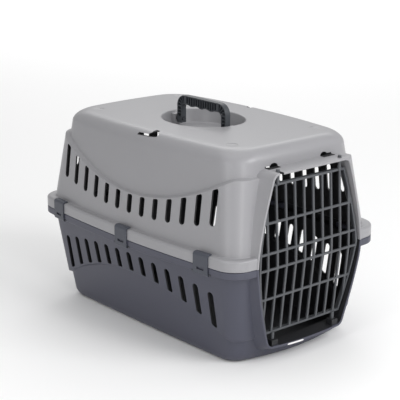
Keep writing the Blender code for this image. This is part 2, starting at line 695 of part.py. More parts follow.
def make_handle(upper_shell, dark, pin_plastic):
    place = Matrix.Translation((0, 0, HANDLE_PIVOT_Z))
    handle = piece("handle_grip", prism(handle_outline(), "X", -HANDLE_HALF_WIDTH, HANDLE_HALF_WIDTH),
                   dark, place)
    bevel = handle.modifiers.new("edges", "BEVEL")
    bevel.width = 1.2 * MM
    bevel.segments = 1
    bevel.limit_method = "ANGLE"
    bevel.angle_limit = radians(60)
    hole = prism(circle((0, 0), HANDLE_PIN_RADIUS + GAP), "Y", -65 * MM, 65 * MM)
    combine(handle, "pin_holes", hole, "DIFFERENCE", place)
    face = HANDLE_HALF_LENGTH + GAP
    collar_end = face + HANDLE_PIN_COLLAR_WIDTH
    steps = ((HANDLE_HALF_LENGTH - HANDLE_LEG - MM, HANDLE_PIN_RADIUS), (face, HANDLE_PIN_RADIUS),
             (face, HANDLE_PIN_COLLAR), (collar_end, HANDLE_PIN_COLLAR), (collar_end, HANDLE_PIN_RADIUS),
             (HANDLE_PIN_END, HANDLE_PIN_RADIUS))
    for name, side in (("handle_pin_front", -1), ("handle_pin_rear", 1)):
        rings = [[(x, side * y, z) for x, z in circle((0, 0), radius)] for y, radius in steps]
        piece(name, bridge(rings), pin_plastic, place)
    bosses = []
    sockets = []
    for side in (-1, 1):
        depth = sorted((side * (collar_end + GAP), side * PIVOT_BOSS_END))
        height = (RECESS_FLOOR_Z - MM, PIVOT_BOSS_TOP_Z)
        bosses.append(box((-PIVOT_BOSS_HALF, PIVOT_BOSS_HALF), depth, height))
        inner_end = side * (collar_end - MM)
        socket_end = side * (HANDLE_PIN_END + GAP)
        sockets.append(moved(prism(circle((0, 0), HANDLE_PIN_RADIUS + GAP), "Y",
                                   *sorted((inner_end, socket_end))), place))
    combine(upper_shell, "pivot_bosses", merged(bosses), "UNION")
    combine(upper_shell, "pivot_sockets", merged(sockets), "DIFFERENCE")


# Door -------------------------------------------------------------------------------------------


def door_half_width(z):
    return opening_half_width(z) - DOOR_GAP


def door_front_y(z):
    above = z - DOOR_BEND_Z
    return DOOR_BEND_Y + (DOOR_LEAN_ABOVE * above if above > 0 else -DOOR_LEAN_BELOW * above)


def clipped(polygon, a, b):
    """The part of a polygon on the left of the line from a to b."""
    def side(p):
        return (b[0] - a[0]) * (p[1] - a[1]) - (b[1] - a[1]) * (p[0] - a[0])

    kept = []
    for k, here in enumerate(polygon):
        there = polygon[(k + 1) % len(polygon)]
        if side(here) >= 0:
            kept.append(here)
        if side(here) * side(there) < 0:
            share = side(here) / (side(here) - side(there))
            kept.append((here[0] + (there[0] - here[0]) * share, here[1] + (there[1] - here[1]) * share))
    return kept


def area(polygon):
    return sum(p[0] * q[1] - q[0] * p[1] for p, q in zip(polygon, polygon[1:] + polygon[:1])) / 2


def door_frame(shrink):
    """The door's outline as (x, z), anticlockwise, with its side frames following the opening."""
    half = BAR_WIDTH / 2
    heights = sorted(set(CROSSBAR_HEIGHTS[1:-1]) | {72 * MM, 120 * MM, 188 * MM, 236 * MM, DOOR_BEND_Z})
    bottom = CROSSBAR_HEIGHTS[0] - half + shrink
    top = CROSSBAR_HEIGHTS[-1] + half - shrink
    right = [(door_half_width(z) - shrink, z) for z in [bottom] + heights + [top]]
    return right + [(-x, z) for x, z in reversed(right)]


def door_windows():
    """The openings of the lattice, as polygons cut to the side frames."""
    half = BAR_WIDTH / 2
    bars = [(k - 0.5) * BAR_PITCH for k in range(1 - BARS_EACH_SIDE, BARS_EACH_SIDE + 1)]
    edges = [-110 * MM] + bars + [110 * MM]
    inner = door_frame(BAR_WIDTH)
    windows = []
    for left, right in zip(edges, edges[1:]):
        for low, high in zip(CROSSBAR_HEIGHTS, CROSSBAR_HEIGHTS[1:]):
            window = [(left + half, low + half), (right - half, low + half),
                      (right - half, high - half), (left + half, high - half)]
            for a, b in zip(inner, inner[1:] + inner[:1]):
                window = clipped(window, a, b)
                if len(window) < 3:
                    break
            if len(window) >= 3 and area(window) > 12 * MM**2:
                windows.append(window)
    return windows


def lattice():
    """The door's flat lattice, filled between its outline and its windows, thickened and bent."""
    bm = bmesh.new()
    for outline in [door_frame(0)] + door_windows():
        corners = [bm.verts.new((x, 0, z)) for x, z in outline]
        for a, b in zip(corners, corners[1:] + corners[:1]):
            bm.edges.new((a, b))
    bmesh.ops.triangle_fill(bm, edges=bm.edges[:], use_beauty=True, use_dissolve=False, normal=(0, -1, 0))
    front = bm.faces[:]
    extruded = bmesh.ops.extrude_face_region(bm, geom=front)["geom"]
    back = {item for item in extruded if isinstance(item, bmesh.types.BMVert)}
    for corner in bm.verts:
        corner.co.y = door_front_y(corner.co.z) + (DOOR_THICKNESS if corner in back else 0)
    bm.verts.index_update()
    points = [tuple(corner.co) for corner in bm.verts]
    faces = [[corner.index for corner in face.verts] for face in bm.faces]
    bm.free()
    return points, faces


def door_frame_ring():
    """The deeper frame round the lattice, set just inside its front and outer faces."""
    shy = 0.25 * MM
    outer = door_frame(shy)
    inner = door_frame(BAR_WIDTH - shy)
    rings = []
    for (x, z), (inner_x, inner_z) in zip(outer, inner):
        front = door_front_y(z) + shy
        back = door_front_y(z) + DOOR_FRAME_DEPTH
        rings.append([(x, front, z), (inner_x, front, inner_z), (inner_x, back, inner_z), (x, back, z)])
    points, faces = bridge(rings, closed_ends=False)
    last = len(points) - 4
    faces += [[last + k, last + (k + 1) % 4, (k + 1) % 4, k] for k in range(4)]
    return points, faces


def make_door(slate_door):
    """The lattice with its pins, whose origin is on the far pins' axis."""
    place = Matrix.Translation((DOOR_PIN_X, pin_y(0), 0))
    points, faces = lattice()
    local = [(x - DOOR_PIN_X, y - pin_y(0), z) for x, y, z in points]
    door = piece("door_grille", (local, faces), slate_door, place)
    combine(door, "frame", moved(door_frame_ring(), place.inverted()), "UNION", place)
    pins = []
    for x, low_z in ((DOOR_PIN_X, DOOR_PIN_BOTTOM_Z), (-DOOR_PIN_X, PIN_BLOCK_TOP_Z + GAP)):
        outline = circle((x, 0), DOOR_PIN_RADIUS)
        pins += [prism(outline, "Z", CROSSBAR_HEIGHTS[-1], DOOR_PIN_TOP_Z),
                 prism(outline, "Z", low_z, CROSSBAR_HEIGHTS[0])]
    combine(door, "pins", moved(leaned(merged(pins)), place.inverted()), "UNION", place)


# Collar details ---------------------------------------------------------------------------------


def pin_y(z):
    """The pins' common line, in side view."""
    share = (z - OPENING_BOTTOM_Z) / (OPENING_TOP_Z - OPENING_BOTTOM_Z)
    return DOOR_PIN_LOW_Y + (DOOR_PIN_HIGH_Y - DOOR_PIN_LOW_Y) * share


def leaned(shape):
    """A shape drawn about y = 0, leaned over so that it stands along the pins' line."""
    points, faces = shape
    return [(x, y + pin_y(z), z) for x, y, z in points], faces


def pin_windows():
    """The arched window in the front wall beside each door pin, with the slit that runs on from it."""
    near, far = WINDOW_X
    low, spring, top = WINDOW_Z
    slit_low, slit_high = WINDOW_SLIT_Z
    middle, half = (near + far) / 2, (far - near) / 2
    arch = [(middle + half * c, spring + (top - spring) * s) for c, s in arc((0, 0), 1, 15, 180, 8)]
    outline = [(near, low), (far, low), (far, slit_low), (WINDOW_SLIT_X, slit_low),
               (WINDOW_SLIT_X, slit_high), (far, slit_high)] + arch
    mirrored = [(-x, z) for x, z in outline]
    return merged([prism(outline, "Y", *WINDOW_CUT), prism(mirrored, "Y", *WINDOW_CUT)])


def add_collar(shell, upper):
    combine(shell, "collar", collar(upper), "UNION")
    combine(shell, "opening", prism(opening_outline(), "Y", -262 * MM, -178 * MM), "DIFFERENCE")
    if upper:
        low, high = OPENING_TOP_Z - 4 * MM, OPENING_TOP_Z + 9 * MM
        combine(shell, "pin_windows", pin_windows(), "DIFFERENCE")
        hinge_hole = prism(circle((DOOR_PIN_X, 0), PIN_HOLE_RADIUS), "Z", low, high)
        # The latch pin leaves through a notch that is open to the front
        front = LIP_Y - DOOR_PIN_HIGH_Y - 6 * MM
        notch = ([(-DOOR_PIN_X - PIN_HOLE_RADIUS, front), (-DOOR_PIN_X + PIN_HOLE_RADIUS + MM, front)]
                 + arc((-DOOR_PIN_X, 0), PIN_HOLE_RADIUS, 0, 180, 6))
        holes = merged([hinge_hole, prism(notch, "Z", low, high)])
        combine(shell, "pin_holes", leaned(holes), "DIFFERENCE")
    else:
        middle = pin_y(PIN_BLOCK_TOP_Z)
        across = (DOOR_PIN_X - PIN_BLOCK_HALF, DOOR_PIN_X + PIN_BLOCK_HALF)
        blocks = [box(sorted(side * x for x in across), (middle - PIN_BLOCK_HALF, middle + PIN_BLOCK_HALF),
                      (OPENING_BOTTOM_Z - 1.5 * MM, PIN_BLOCK_TOP_Z)) for side in (-1, 1)]
        combine(shell, "pin_blocks", merged(blocks), "UNION")
        hinge_hole = prism(circle((DOOR_PIN_X, 0), PIN_HOLE_RADIUS), "Z",
                           DOOR_PIN_BOTTOM_Z - GAP, PIN_BLOCK_TOP_Z + MM)
        combine(shell, "pin_hole", leaned(hinge_hole), "DIFFERENCE")


def strap_hole_outline(middle, wide_end):
    """A strap hole as (y, z): a narrow slot whose wide end opens onto the top."""
    end = STRAP_HOLE_LENGTH / 2
    above_top = 5.8 * MM
    lower_edge = [(-end, -2.4 * MM), (4 * MM, -1.4 * MM), (15 * MM, -0.8 * MM), (end, 0.4 * MM)]
    wide_edge = [(end, 3 * MM), (13 * MM, 4.6 * MM), (7 * MM, above_top), (MM, above_top)]
    upper_edge = [(4 * MM, 3.5 * MM), (MM, 1.4 * MM), (-end, 0.6 * MM)]
    return [(middle + wide_end * along, STRAP_HOLE_Z + rise)
            for along, rise in lower_edge + wide_edge + upper_edge]


def make_upper_shell(light):
    shell = piece("upper_shell", upper_shell_body(), light)
    add_collar(shell, True)
    combine(shell, "vent_slots", vent_slots(True), "DIFFERENCE")
    holes = []
    for side, middle in zip((-1, 1), STRAP_HOLE_PLACES):
        depth = sorted(side * reach for reach in STRAP_HOLE_CUT)
        holes.append(prism(strap_hole_outline(middle, side), "X", *depth))
    combine(shell, "strap_holes", merged(holes), "DIFFERENCE")
    return shell


def make_lower_shell(slate):
    shell = piece("lower_shell", lower_shell_body(), slate)
    add_collar(shell, False)
    combine(shell, "vent_slots", vent_slots(False), "DIFFERENCE")
    return shell


def make_label_plate(white):
    """A blank plate that follows the sill's lip."""
    half = LABEL_LENGTH / 2
    z = OPENING_BOTTOM_Z - LIP_WIDTH + 0.4 * MM
    rings = []
    for k in range(LABEL_STEPS + 1):
        x = LABEL_X - half + LABEL_LENGTH * k / LABEL_STEPS
        back = lip_y(x, z) - 2 * GAP
        rings.append([(x, back - LABEL_THICKNESS, z), (x, back, z), (x, back, z + LABEL_HEIGHT),
                      (x, back - LABEL_THICKNESS, z + LABEL_HEIGHT)])
    piece("label_plate", bridge(rings), white)


def main():
    clear_scene()
    light = plastic("light_grey_plastic", (0.42, 0.42, 0.43), 0.5)
    slate = plastic("slate_plastic", (0.075, 0.083, 0.108), 0.5)
    door_plastic = plastic("door_plastic", (0.095, 0.1, 0.115), 0.45)
    dark = plastic("handle_plastic", (0.045, 0.05, 0.058), 0.5)
    pin_plastic = plastic("pin_plastic", (0.04, 0.042, 0.05), 0.4)
    white = plastic("label_plastic", (0.8, 0.8, 0.8), 0.4)
    upper_shell = make_upper_shell(light)
    lower_shell = make_lower_shell(slate)
    make_handle(upper_shell, dark, pin_plastic)
    make_clips(lower_shell, slate, pin_plastic)
    make_door(door_plastic)
    make_label_plate(white)


main()
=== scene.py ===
"""Looks for the pet transport carrier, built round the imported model.

Metres, +Z up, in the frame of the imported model: the door faces -Y and X is the width. The shells, the
door, the handle and the clips are built here again from the same dimensions as the model, with rounded
edges, ribs and finer curves, and each piece rides on its own body.
"""

from math import atan2, copysign, cos, pi, radians, sin

import bmesh
import bpy
from mathutils import Matrix, Vector


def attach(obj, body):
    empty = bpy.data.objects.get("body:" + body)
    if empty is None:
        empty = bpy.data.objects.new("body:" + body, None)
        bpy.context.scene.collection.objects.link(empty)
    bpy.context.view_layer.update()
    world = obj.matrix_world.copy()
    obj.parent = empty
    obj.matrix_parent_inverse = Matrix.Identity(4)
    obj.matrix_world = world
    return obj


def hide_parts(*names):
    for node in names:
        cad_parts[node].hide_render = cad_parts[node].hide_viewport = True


MM = 0.001
GAP = 0.3 * MM
WALL = 2.6 * MM

# Rim
RIM_HALF_LENGTH = 230 * MM
RIM_HALF_WIDTH = 143.7 * MM
RIM_END_BOW = 5.8 * MM
REAR_BOW_SHARE = 0.52
RIM_SIDE_BOW = 14.5 * MM
RIM_CORNER = 27 * MM
SEAM_Z = 150.5 * MM
RIM_TOP_Z = 167 * MM
RIM_BOTTOM_Z = 139.5 * MM
RIM_FLANGE = 10.3 * MM
RIM_ROUND = 3.6 * MM
RIM_LOW_ROUND = 1.8 * MM
RIM_FILLET = 1.6 * MM
RIM_FILLET_SINK = 0.6 * MM
RIM_TOP_FLAT = 2 * MM
RIM_TOP_FALL = 0.05 * MM
RIM_TOP_THICKENING = 1.4 * MM
SEAM_CHAMFER = 0.7 * MM

# Walls
UPPER_DRAFT = 0.117
LOWER_DRAFT = 0.126
UPPER_STEP = 5.5 * MM
LOWER_STEP = 4 * MM
STEP_DROP = 2 * MM
STEP_SPREAD = 1.2
UPPER_STEP_MIDDLE_Z = 216.5 * MM
UPPER_STEP_END_Z = 270 * MM
LOWER_STEP_MIDDLE_Z = 93.5 * MM
LOWER_STEP_END_Z = 38.5 * MM
STEP_HALF_LENGTH = 198 * MM
STEP_ROUNDS = 6
TOP_Z = 309 * MM
TOP_CROWN = 2 * MM
TOP_EDGE_Z = 288 * MM
TOP_EDGE_WIDTH = 22 * MM
BASE_EDGE_Z = 14 * MM
BASE_EDGE_INSET = 28.9 * MM
BASE_INSET = 39 * MM
BASE_SIDE_BOW = 2 * MM
BASE_END_BOW = 18 * MM
BASE_END_INSET = 8.7 * MM
BASE_END_HEIGHT = 60 * MM
BASE_CAP_SHARES = (0.9, 0.95)  # across and along
WALL_CORNER = 26 * MM
TOP_CORNER = 32 * MM
BASE_CORNER = 18 * MM
DIMPLE_X = 81 * MM
DIMPLE_Y = 155 * MM
DIMPLE_RADIUS = 9 * MM
DIMPLE_DEPTH = 0.7 * MM

# Vent slots
SLOT_PITCH = 28.7 * MM
SIDE_SLOTS = 13
REAR_SLOTS = 7
SLOT_WIDTH = 10.6 * MM
REAR_SLOT_WIDTH = 12 * MM
REAR_SLOT_BOTTOM_Z = 206 * MM
LEFT_UPPER_ROW_SHIFT = -1.5 * MM
LEFT_LOWER_ROW_SHIFT = 2.5 * MM
RIGHT_ROW_SHIFT = 6 * MM
SLOT_CUT = (82 * MM, 175 * MM)
REAR_SLOT_CUT = (165 * MM, 250 * MM)
SLOT_CORNER = 2.6 * MM
SLOT_LIP = 1.6 * MM
UPPER_SLOT_BOTTOM_Z = 187.2 * MM
LOWER_SLOT_TOP_Z = 125 * MM
SLOT_END_SHIFT = 17.5 * MM
SLOT_ROW_END = 172 * MM

# Door opening and its collar
OPENING_HALF_WIDTH = 100.8 * MM
OPENING_WAIST_Z = 150 * MM
OPENING_TAPER = 27 * MM
OPENING_TAPER_HEIGHT = 119 * MM
OPENING_TAPER_POWER = 1.45
OPENING_TOP_Z = 276.5 * MM
OPENING_BOTTOM_Z = 26.3 * MM
OPENING_CORNER = 9 * MM
OPENING_CLEARANCE = 0.5 * MM
OPENING_CUT = (-262 * MM, -178 * MM)
OPENING_STEPS = 30
LIP_Y = -234 * MM
LIP_LEAN_Z = 130 * MM
LIP_LEAN = 0.073
LIP_WIDTH = 3.5 * MM
LIP_ROUND = 1.1 * MM
SILL_BOW = 6.4 * MM
SILL_HALF_WIDTH = 76 * MM
SILL_BLEND = 8 * MM
COLLAR_ROOT = 3.9 * MM
COLLAR_FLARE_SIDE = 9 * MM
COLLAR_FLARE_UP = 5 * MM
COLLAR_FLARE_DOWN = 16 * MM
COLLAR_END_CLEARANCE = 3 * MM

# Door
BAR_PITCH = 17.85 * MM
BAR_WIDTH = 3.5 * MM
BARS_EACH_SIDE = 5
DOOR_THICKNESS = 3 * MM
DOOR_FRAME_DEPTH = 7 * MM
DOOR_FRAME_SHY = 0.25 * MM
LATTICE_HALF_WIDTH = 110 * MM  # past the frame, which cuts it off
DOOR_FRAME_HEIGHTS = {z * MM for z in (72, 120, 188, 236)}
SMALLEST_WINDOW = 12 * MM**2
DOOR_GAP = 3.2 * MM
CROSSBAR_HEIGHTS = [z * MM for z in (45.5, 99.0, 143.6, 167.0, 210.0, 262.0)]
DOOR_BEND_Z = 150 * MM
DOOR_BEND_Y = -231.6 * MM
DOOR_LEAN_ABOVE = 0.055
DOOR_LEAN_BELOW = 0.11
DOOR_PIN_X = 60.7 * MM
DOOR_PIN_LOW_Y = -219.8 * MM
DOOR_PIN_HIGH_Y = -225.3 * MM
DOOR_PIN_RADIUS = 2.7 * MM
DOOR_PIN_TOP_Z = 283.5 * MM
DOOR_PIN_BOTTOM_Z = 23 * MM
PIN_HOLE_RADIUS = DOOR_PIN_RADIUS + GAP + 0.1 * MM
PIN_HOLE_REACH = (4 * MM, 9 * MM)  # below and above the opening's top
NOTCH_REACH = 6 * MM
PIN_BLOCK_TOP_Z = 35 * MM
PIN_BLOCK_HALF = 6 * MM
PIN_BLOCK_ROOT = 1.5 * MM

# Windows in the front wall just over the collar, one beside each door pin
WINDOW_X = (42 * MM, 56 * MM)
WINDOW_Z = (280 * MM, 281.5 * MM, 286 * MM)  # its sill, where the arch starts, and its top
WINDOW_SLIT_X = 65 * MM
WINDOW_SLIT_Z = (280.5 * MM, 283 * MM)
WINDOW_CUT = (-213 * MM, -196 * MM)
LINING_END_Y = -196 * MM

# Handle and its recess
HANDLE_PIVOT_Z = 299 * MM
HANDLE_TOP_Z = 337 * MM
HANDLE_HALF_LENGTH = 56 * MM
HANDLE_HALF_WIDTH = 4.8 * MM
HANDLE_LEG = 10.5 * MM
HANDLE_CORNER = 17 * MM
HANDLE_INNER_CORNER = 7 * MM
HANDLE_SKIN = 1.7 * MM
HANDLE_WEB = 1.6 * MM
HANDLE_RIB = 1.6 * MM
HANDLE_RIB_PITCH = 5.4 * MM
WEDGE_NEAR = 5.2 * MM  # the shoulders' hollows start this far from the corner's centre
WEDGE_TURNS = (10, 32.5, 55, 77.5)
WEDGE_NEAR_SPREAD = 5
WEDGE_FAR_SPREAD = 8.2
LEG_HOLLOW_Z = 17.2 * MM
GRIP_UNDERSIDE_Z = 323.5 * MM
GRIP_SCALLOP = 2 * MM
SCALLOP_PITCH = 22 * MM
FOOT_BELOW_PIVOT = 6 * MM
HANDLE_PIN_RADIUS = 3 * MM
HANDLE_PIN_COLLAR = 5 * MM
HANDLE_PIN_COLLAR_WIDTH = 2.4 * MM
HANDLE_PIN_END = 67 * MM
HANDLE_BORE_END = 65 * MM
HANDLE_BOSS_HALF_WIDTH = 7 * MM
HANDLE_BOSS_END = 74 * MM
HANDLE_BOSS_TOP_Z = 305.5 * MM
RECESS_HALF_LENGTH = 71 * MM
RECESS_HALF_WIDTH = 59 * MM
RECESS_TAPER = 6 * MM
RECESS_FLOOR_Z = 287.5 * MM
RECESS_FLOOR_ROUND = 3.5 * MM
RECESS_FLOOR_MIDDLE = 16 * MM
RECESS_EDGE_ROUND = 1.6 * MM
RECESS_EDGE_TAPER = 1.2 * MM

# Clips
SIDE_CLIP_PLACES = {"front": -170 * MM, "middle": 0.0, "rear": 170 * MM}
REAR_CLIP_PLACE = 98 * MM
CLIP_WIDTH = 28 * MM
CLIP_PIVOT_OUT = -1 * MM
CLIP_PIVOT_Z = 140.8 * MM
CLIP_BARREL = 3.2 * MM
CLIP_PLATE_IN = 1.4 * MM
CLIP_HOOK_REACH = 6 * MM
CLIP_HOOK_UNDER_Z = 167.5 * MM
CLIP_TOP_Z = 169.4 * MM
CLIP_SHOULDER = 4.4 * MM
CLIP_INNER_ROUND = 3.4 * MM
CLIP_PIN_RADIUS = 1.5 * MM
FINGER_SLOT = ((-6.75 * MM, 6.75 * MM), (0, 6 * MM), (4.8 * MM, 8 * MM))
CLIP_BOSS = ((-22 * MM, 22 * MM), (-9.2 * MM, -0.02 * MM), (-1.2 * MM, 8.5 * MM))
POCKET_WIDTH = 29 * MM
POCKET_DEPTH = 4.2 * MM
POCKET_REACH = 8 * MM
PIN_SOCKET_DEPTH = 4 * MM

# Strap holes and the blank plate on the sill
STRAP_HOLE_LENGTH = 40 * MM
STRAP_HOLE_Z = 302.8 * MM
STRAP_HOLE_PLACES = (-16 * MM, 6 * MM)
STRAP_HOLE_CUT = (104 * MM, 140 * MM)
LABEL_LENGTH = 30 * MM
LABEL_HEIGHT = 2.4 * MM
LABEL_THICKNESS = 0.6 * MM
LABEL_X = -26 * MM
LABEL_RISE = 0.4 * MM
LABEL_SINK = 0.05 * MM
LABEL_STEPS = 20

# How finely the curves are cut
CORNER_STEPS = 10
SIDE_STEPS = 40
END_STEPS = 22
ROUND_STEPS = 32

PAINTED_SHADE = 1  # the second material slot: painted shade, a dark finish for the faces of a shell's inside and its cuts, where shade falls

# Grain and marks of the plastics
FLOW_SCALE = 9.0
SPECK_SCALE = 420.0
GRAIN_SCALE = 1400.0
GRAIN_DEPTH = 0.08 * MM
MOTTLE = 0.035
SPECK_SHARE = 0.06
ROUGHNESS_SPREAD = 0.05

FLOOR_HALF = 6.0
WORLD_STRENGTH = 0.55
LIGHT_AIM = Vector((0, 0, 0.17))
LIGHTS = {  # turn, reach, height, size, watts and aim
    "key": (16, 1.9, 1.5, (1.2, 1.0), 24),
    "top": (180, 0.3, 2.3, (1.6, 1.6), 7),
    "streak_left": (-72, 1.5, 0.6, (0.08, 1.2), 3),
    "streak_front": (-20, 1.5, 0.6, (0.08, 1.2), 4.5),
    "backdrop": (139, 4.2, 2.6, (4.0, 3.0), 75, Vector((2.76, 3.17, 0))),
}

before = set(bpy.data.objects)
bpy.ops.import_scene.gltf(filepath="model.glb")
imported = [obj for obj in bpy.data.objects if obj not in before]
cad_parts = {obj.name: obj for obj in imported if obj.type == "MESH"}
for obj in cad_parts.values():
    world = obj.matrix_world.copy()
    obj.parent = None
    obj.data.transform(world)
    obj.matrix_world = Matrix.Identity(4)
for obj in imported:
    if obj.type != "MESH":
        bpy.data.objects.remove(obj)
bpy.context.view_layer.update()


# Mesh helpers


def bridge(rings, closed_ends=True):
    """Joins rings of equal count with quads, and caps the first and last ring."""
    count = len(rings[0])
    points = [point for ring in rings for point in ring]
    faces = [list(range(count))[::-1]] if closed_ends else []
    for level in range(len(rings) - 1):
        for k in range(count):
            after = (k + 1) % count
            low = level * count
            high = low + count
            faces.append([low + k, low + after, high + after, high + k])
    if closed_ends:
        faces.append([len(points) - count + k for k in range(count)])
    return points, faces


def merged(shapes):
    points = []
    faces = []
    for shape_points, shape_faces in shapes:
        start = len(points)
        points += shape_points
        faces += [[start + index for index in face] for face in shape_faces]
    return points, faces


def moved(shape, matrix):
    points, faces = shape
    return [matrix @ Vector(point) for point in points], faces


def prism(outline, axis, low, high):
    """An outline pushed along X, Y or Z from low to high. It is (y, z), (x, z) or (x, y)."""
    def at(point, depth):
        first, second = point
        places = {"X": (depth, first, second), "Y": (first, depth, second), "Z": (first, second, depth)}
        return places[axis]

    return bridge([[at(point, depth) for point in outline] for depth in (low, high)])


def box(x, y, z):
    return prism([(x[0], y[0]), (x[1], y[0]), (x[1], y[1]), (x[0], y[1])], "Z", z[0], z[1])


def circle(centre, radius):
    turns = [2 * pi * (k + 0.5) / ROUND_STEPS for k in range(ROUND_STEPS)]
    return [(centre[0] + radius * cos(turn), centre[1] + radius * sin(turn)) for turn in turns]


def arc(centre, radius, start, end, steps):
    turns = [radians(start + (end - start) * k / steps) for k in range(steps + 1)]
    return [(centre[0] + radius * cos(turn), centre[1] + radius * sin(turn)) for turn in turns]


def blend(start, end, share):
    return start + (end - start) * min(1, max(0, share))


def ease(share):
    share = min(1, max(0, share))
    return share * share * (3 - 2 * share)


def solid(name, shape, materials=(), inside_from=None, inside_to=None):
    """A closed mesh object. Faces numbered from inside_from to inside_to get the painted-shade material, a
    dark finish that stands for the shade inside.
    """
    points, faces = shape
    mesh = bpy.data.meshes.new(name)
    bm = bmesh.new()
    corners = [bm.verts.new(point) for point in points]
    for number, face in enumerate(faces):
        made = bm.faces.new([corners[index] for index in face])
        if inside_from is not None and inside_from <= number < inside_to:
            made.material_index = PAINTED_SHADE
    bmesh.ops.recalc_face_normals(bm, faces=bm.faces)
    bm.to_mesh(mesh)
    bm.free()
    for material in materials:
        mesh.materials.append(material)
    thing = bpy.data.objects.new(name, mesh)
    bpy.context.scene.collection.objects.link(thing)
    return thing


def carve(target, operation, *shapes, material=None):
    """Adds the shapes to the target, or takes them away, and keeps the result as its mesh."""
    helper = solid(target.name + "_helper", merged(shapes))
    for existing in target.data.materials:
        helper.data.materials.append(existing)
    if material is not None:
        for face in helper.data.polygons:
            face.material_index = material
    modifier = target.modifiers.new("carve", "BOOLEAN")
    modifier.operation = operation
    modifier.object = helper
    modifier.solver = "EXACT"
    keep(target)
    bpy.data.objects.remove(helper)


def keep(target):
    """Replaces the object's mesh by what its modifiers make of it."""
    graph = bpy.context.evaluated_depsgraph_get()
    mesh = bpy.data.meshes.new_from_object(target.evaluated_get(graph), depsgraph=graph)
    mesh.name = target.name
    target.modifiers.clear()
    target.data = mesh


def clean(target, distance=0.02 * MM):
    bm = bmesh.new()
    bm.from_mesh(target.data)
    bmesh.ops.remove_doubles(bm, verts=bm.verts, dist=distance)
    bmesh.ops.dissolve_degenerate(bm, edges=bm.edges, dist=distance / 2)
    bm.to_mesh(target.data)
    bm.free()


def round_edges(target, width, angle=40):
    """Rounds the sharp edges by a small width."""
    clean(target)
    bevel = target.modifiers.new("edges", "BEVEL")
    bevel.width = width
    bevel.segments = 2
    bevel.limit_method = "ANGLE"
    bevel.angle_limit = radians(angle)
    bevel.use_clamp_overlap = False
    bevel.miter_outer = "MITER_ARC"
    keep(target)
    clean(target, 0.004 * MM)


def shade(target):
    """Smooth shading that keeps the flat faces flat."""
    target.data.shade_smooth()
    target.data.set_sharp_from_angle(angle=radians(38))
    normals = target.modifiers.new("normals", "WEIGHTED_NORMAL")
    normals.keep_sharp = True
    normals.weight = 60
    keep(target)


def soften(target, width):
    round_edges(target, width)
    shade(target)


def stand_for(piece, body, slot, *nodes):
    """The piece rides on a body and replaces CAD nodes. The slot is not used."""
    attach(piece, body)
    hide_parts(*nodes)
    return piece


# Plastics


def plastic(name, colour, roughness, grain=0.3, wear=0.12):
    """Moulded plastic: a fine spark-eroded grain, faint flow marks, and lighter worn edges."""
    material = bpy.data.materials.new(name)
    material.use_nodes = True
    tree = material.node_tree
    shader = tree.nodes["Principled BSDF"]

    def add(kind, **values):
        node = tree.nodes.new("ShaderNode" + kind)
        if kind == "Mix":
            node.data_type = "RGBA"
        for entry, value in values.items():
            node.inputs[entry.replace("_", " ")].default_value = value
        return node

    def join(source, output, target, entry):
        tree.links.new(source.outputs[output], target.inputs[entry])

    def noise(scale, detail, **values):
        node = add("TexNoise", Scale=scale, Detail=detail, **values)
        join(place, "Object", node, "Vector")
        return node

    def ranged(source, output, **values):
        node = add("MapRange", **values)
        join(source, output, node, "Value")
        return node

    def mixed(before, share, after):
        node = add("Mix", B=after)
        join(before, "Result", node, "A")
        join(share, "Result", node, "Factor")
        return node

    def tint(scale, lift=0.0):
        return (*[min(1, c * scale + lift) for c in colour], 1)

    place = add("TexCoord")
    flow = noise(FLOW_SCALE, 4.0, Distortion=0.6)
    tone = add("Mix", A=tint(1 - MOTTLE), B=tint(1 + MOTTLE))
    join(flow, "Fac", tone, "Factor")

    speck = ranged(noise(SPECK_SCALE, 2.0), "Fac", From_Min=0.3, From_Max=0.7, To_Max=SPECK_SHARE)
    specked = mixed(tone, speck, tint(1.25, 0.01))
    edge = ranged(add("NewGeometry"), "Pointiness", From_Min=0.53, From_Max=0.62, To_Max=wear)
    worn = mixed(specked, edge, tint(1.5, 0.03))
    join(worn, "Result", shader, "Base Color")

    gloss = ranged(flow, "Fac", To_Min=roughness - ROUGHNESS_SPREAD, To_Max=roughness + ROUGHNESS_SPREAD)
    join(gloss, "Result", shader, "Roughness")

    bump = add("Bump", Strength=grain, Distance=GRAIN_DEPTH)
    join(noise(GRAIN_SCALE, 3.0, Roughness=0.6), "Fac", bump, "Height")
    join(bump, "Normal", shader, "Normal")
    return material


# Plan loops


def plan_stations():
    """(across, along, out_x, out_y) for each point of a plan loop, anticlockwise."""
    stations = []
    for across, along, start in ((1, -1, -90), (1, 1, 0), (-1, 1, 90), (-1, -1, 180)):
        for out_x, out_y in arc((0, 0), 1, start, start + 90, CORNER_STEPS):
            stations.append((across, along, out_x, out_y))
        on_side = start in (-90, 90)
        steps = SIDE_STEPS if on_side else END_STEPS
        for k in range(1, steps):
            share = 1 - 2 * k / steps
            if on_side:
                stations.append((across, along * share, out_x, 0))
            else:
                stations.append((across * share, along, 0, out_y))
    return stations


STATIONS = plan_stations()


def plan_point(station, inset, corner, side_bow, end_bow=RIM_END_BOW, end_inset=0):
    across, along, out_x, out_y = station
    half_width = RIM_HALF_WIDTH - inset
    half_length = RIM_HALF_LENGTH - inset - end_inset
    x = across * (half_width - corner) + corner * out_x
    y = along * (half_length - corner) + corner * out_y
    bowed_x = x + copysign(side_bow * (1 - (y / half_length) ** 2), x)
    end_share = REAR_BOW_SHARE if y > 0 else 1
    bowed_y = y + copysign(end_share * end_bow * (1 - (x / half_width) ** 2), y)
    return bowed_x, bowed_y


def level_ring(z, inset, corner=RIM_CORNER):
    return [(*plan_point(station, inset, corner, RIM_SIDE_BOW), z) for station in STATIONS]


def step_end_share(y):
    return min(1, (y / STEP_HALF_LENGTH) ** 2)


def upper_step_z(y):
    return UPPER_STEP_MIDDLE_Z + (UPPER_STEP_END_Z - UPPER_STEP_MIDDLE_Z) * step_end_share(y)


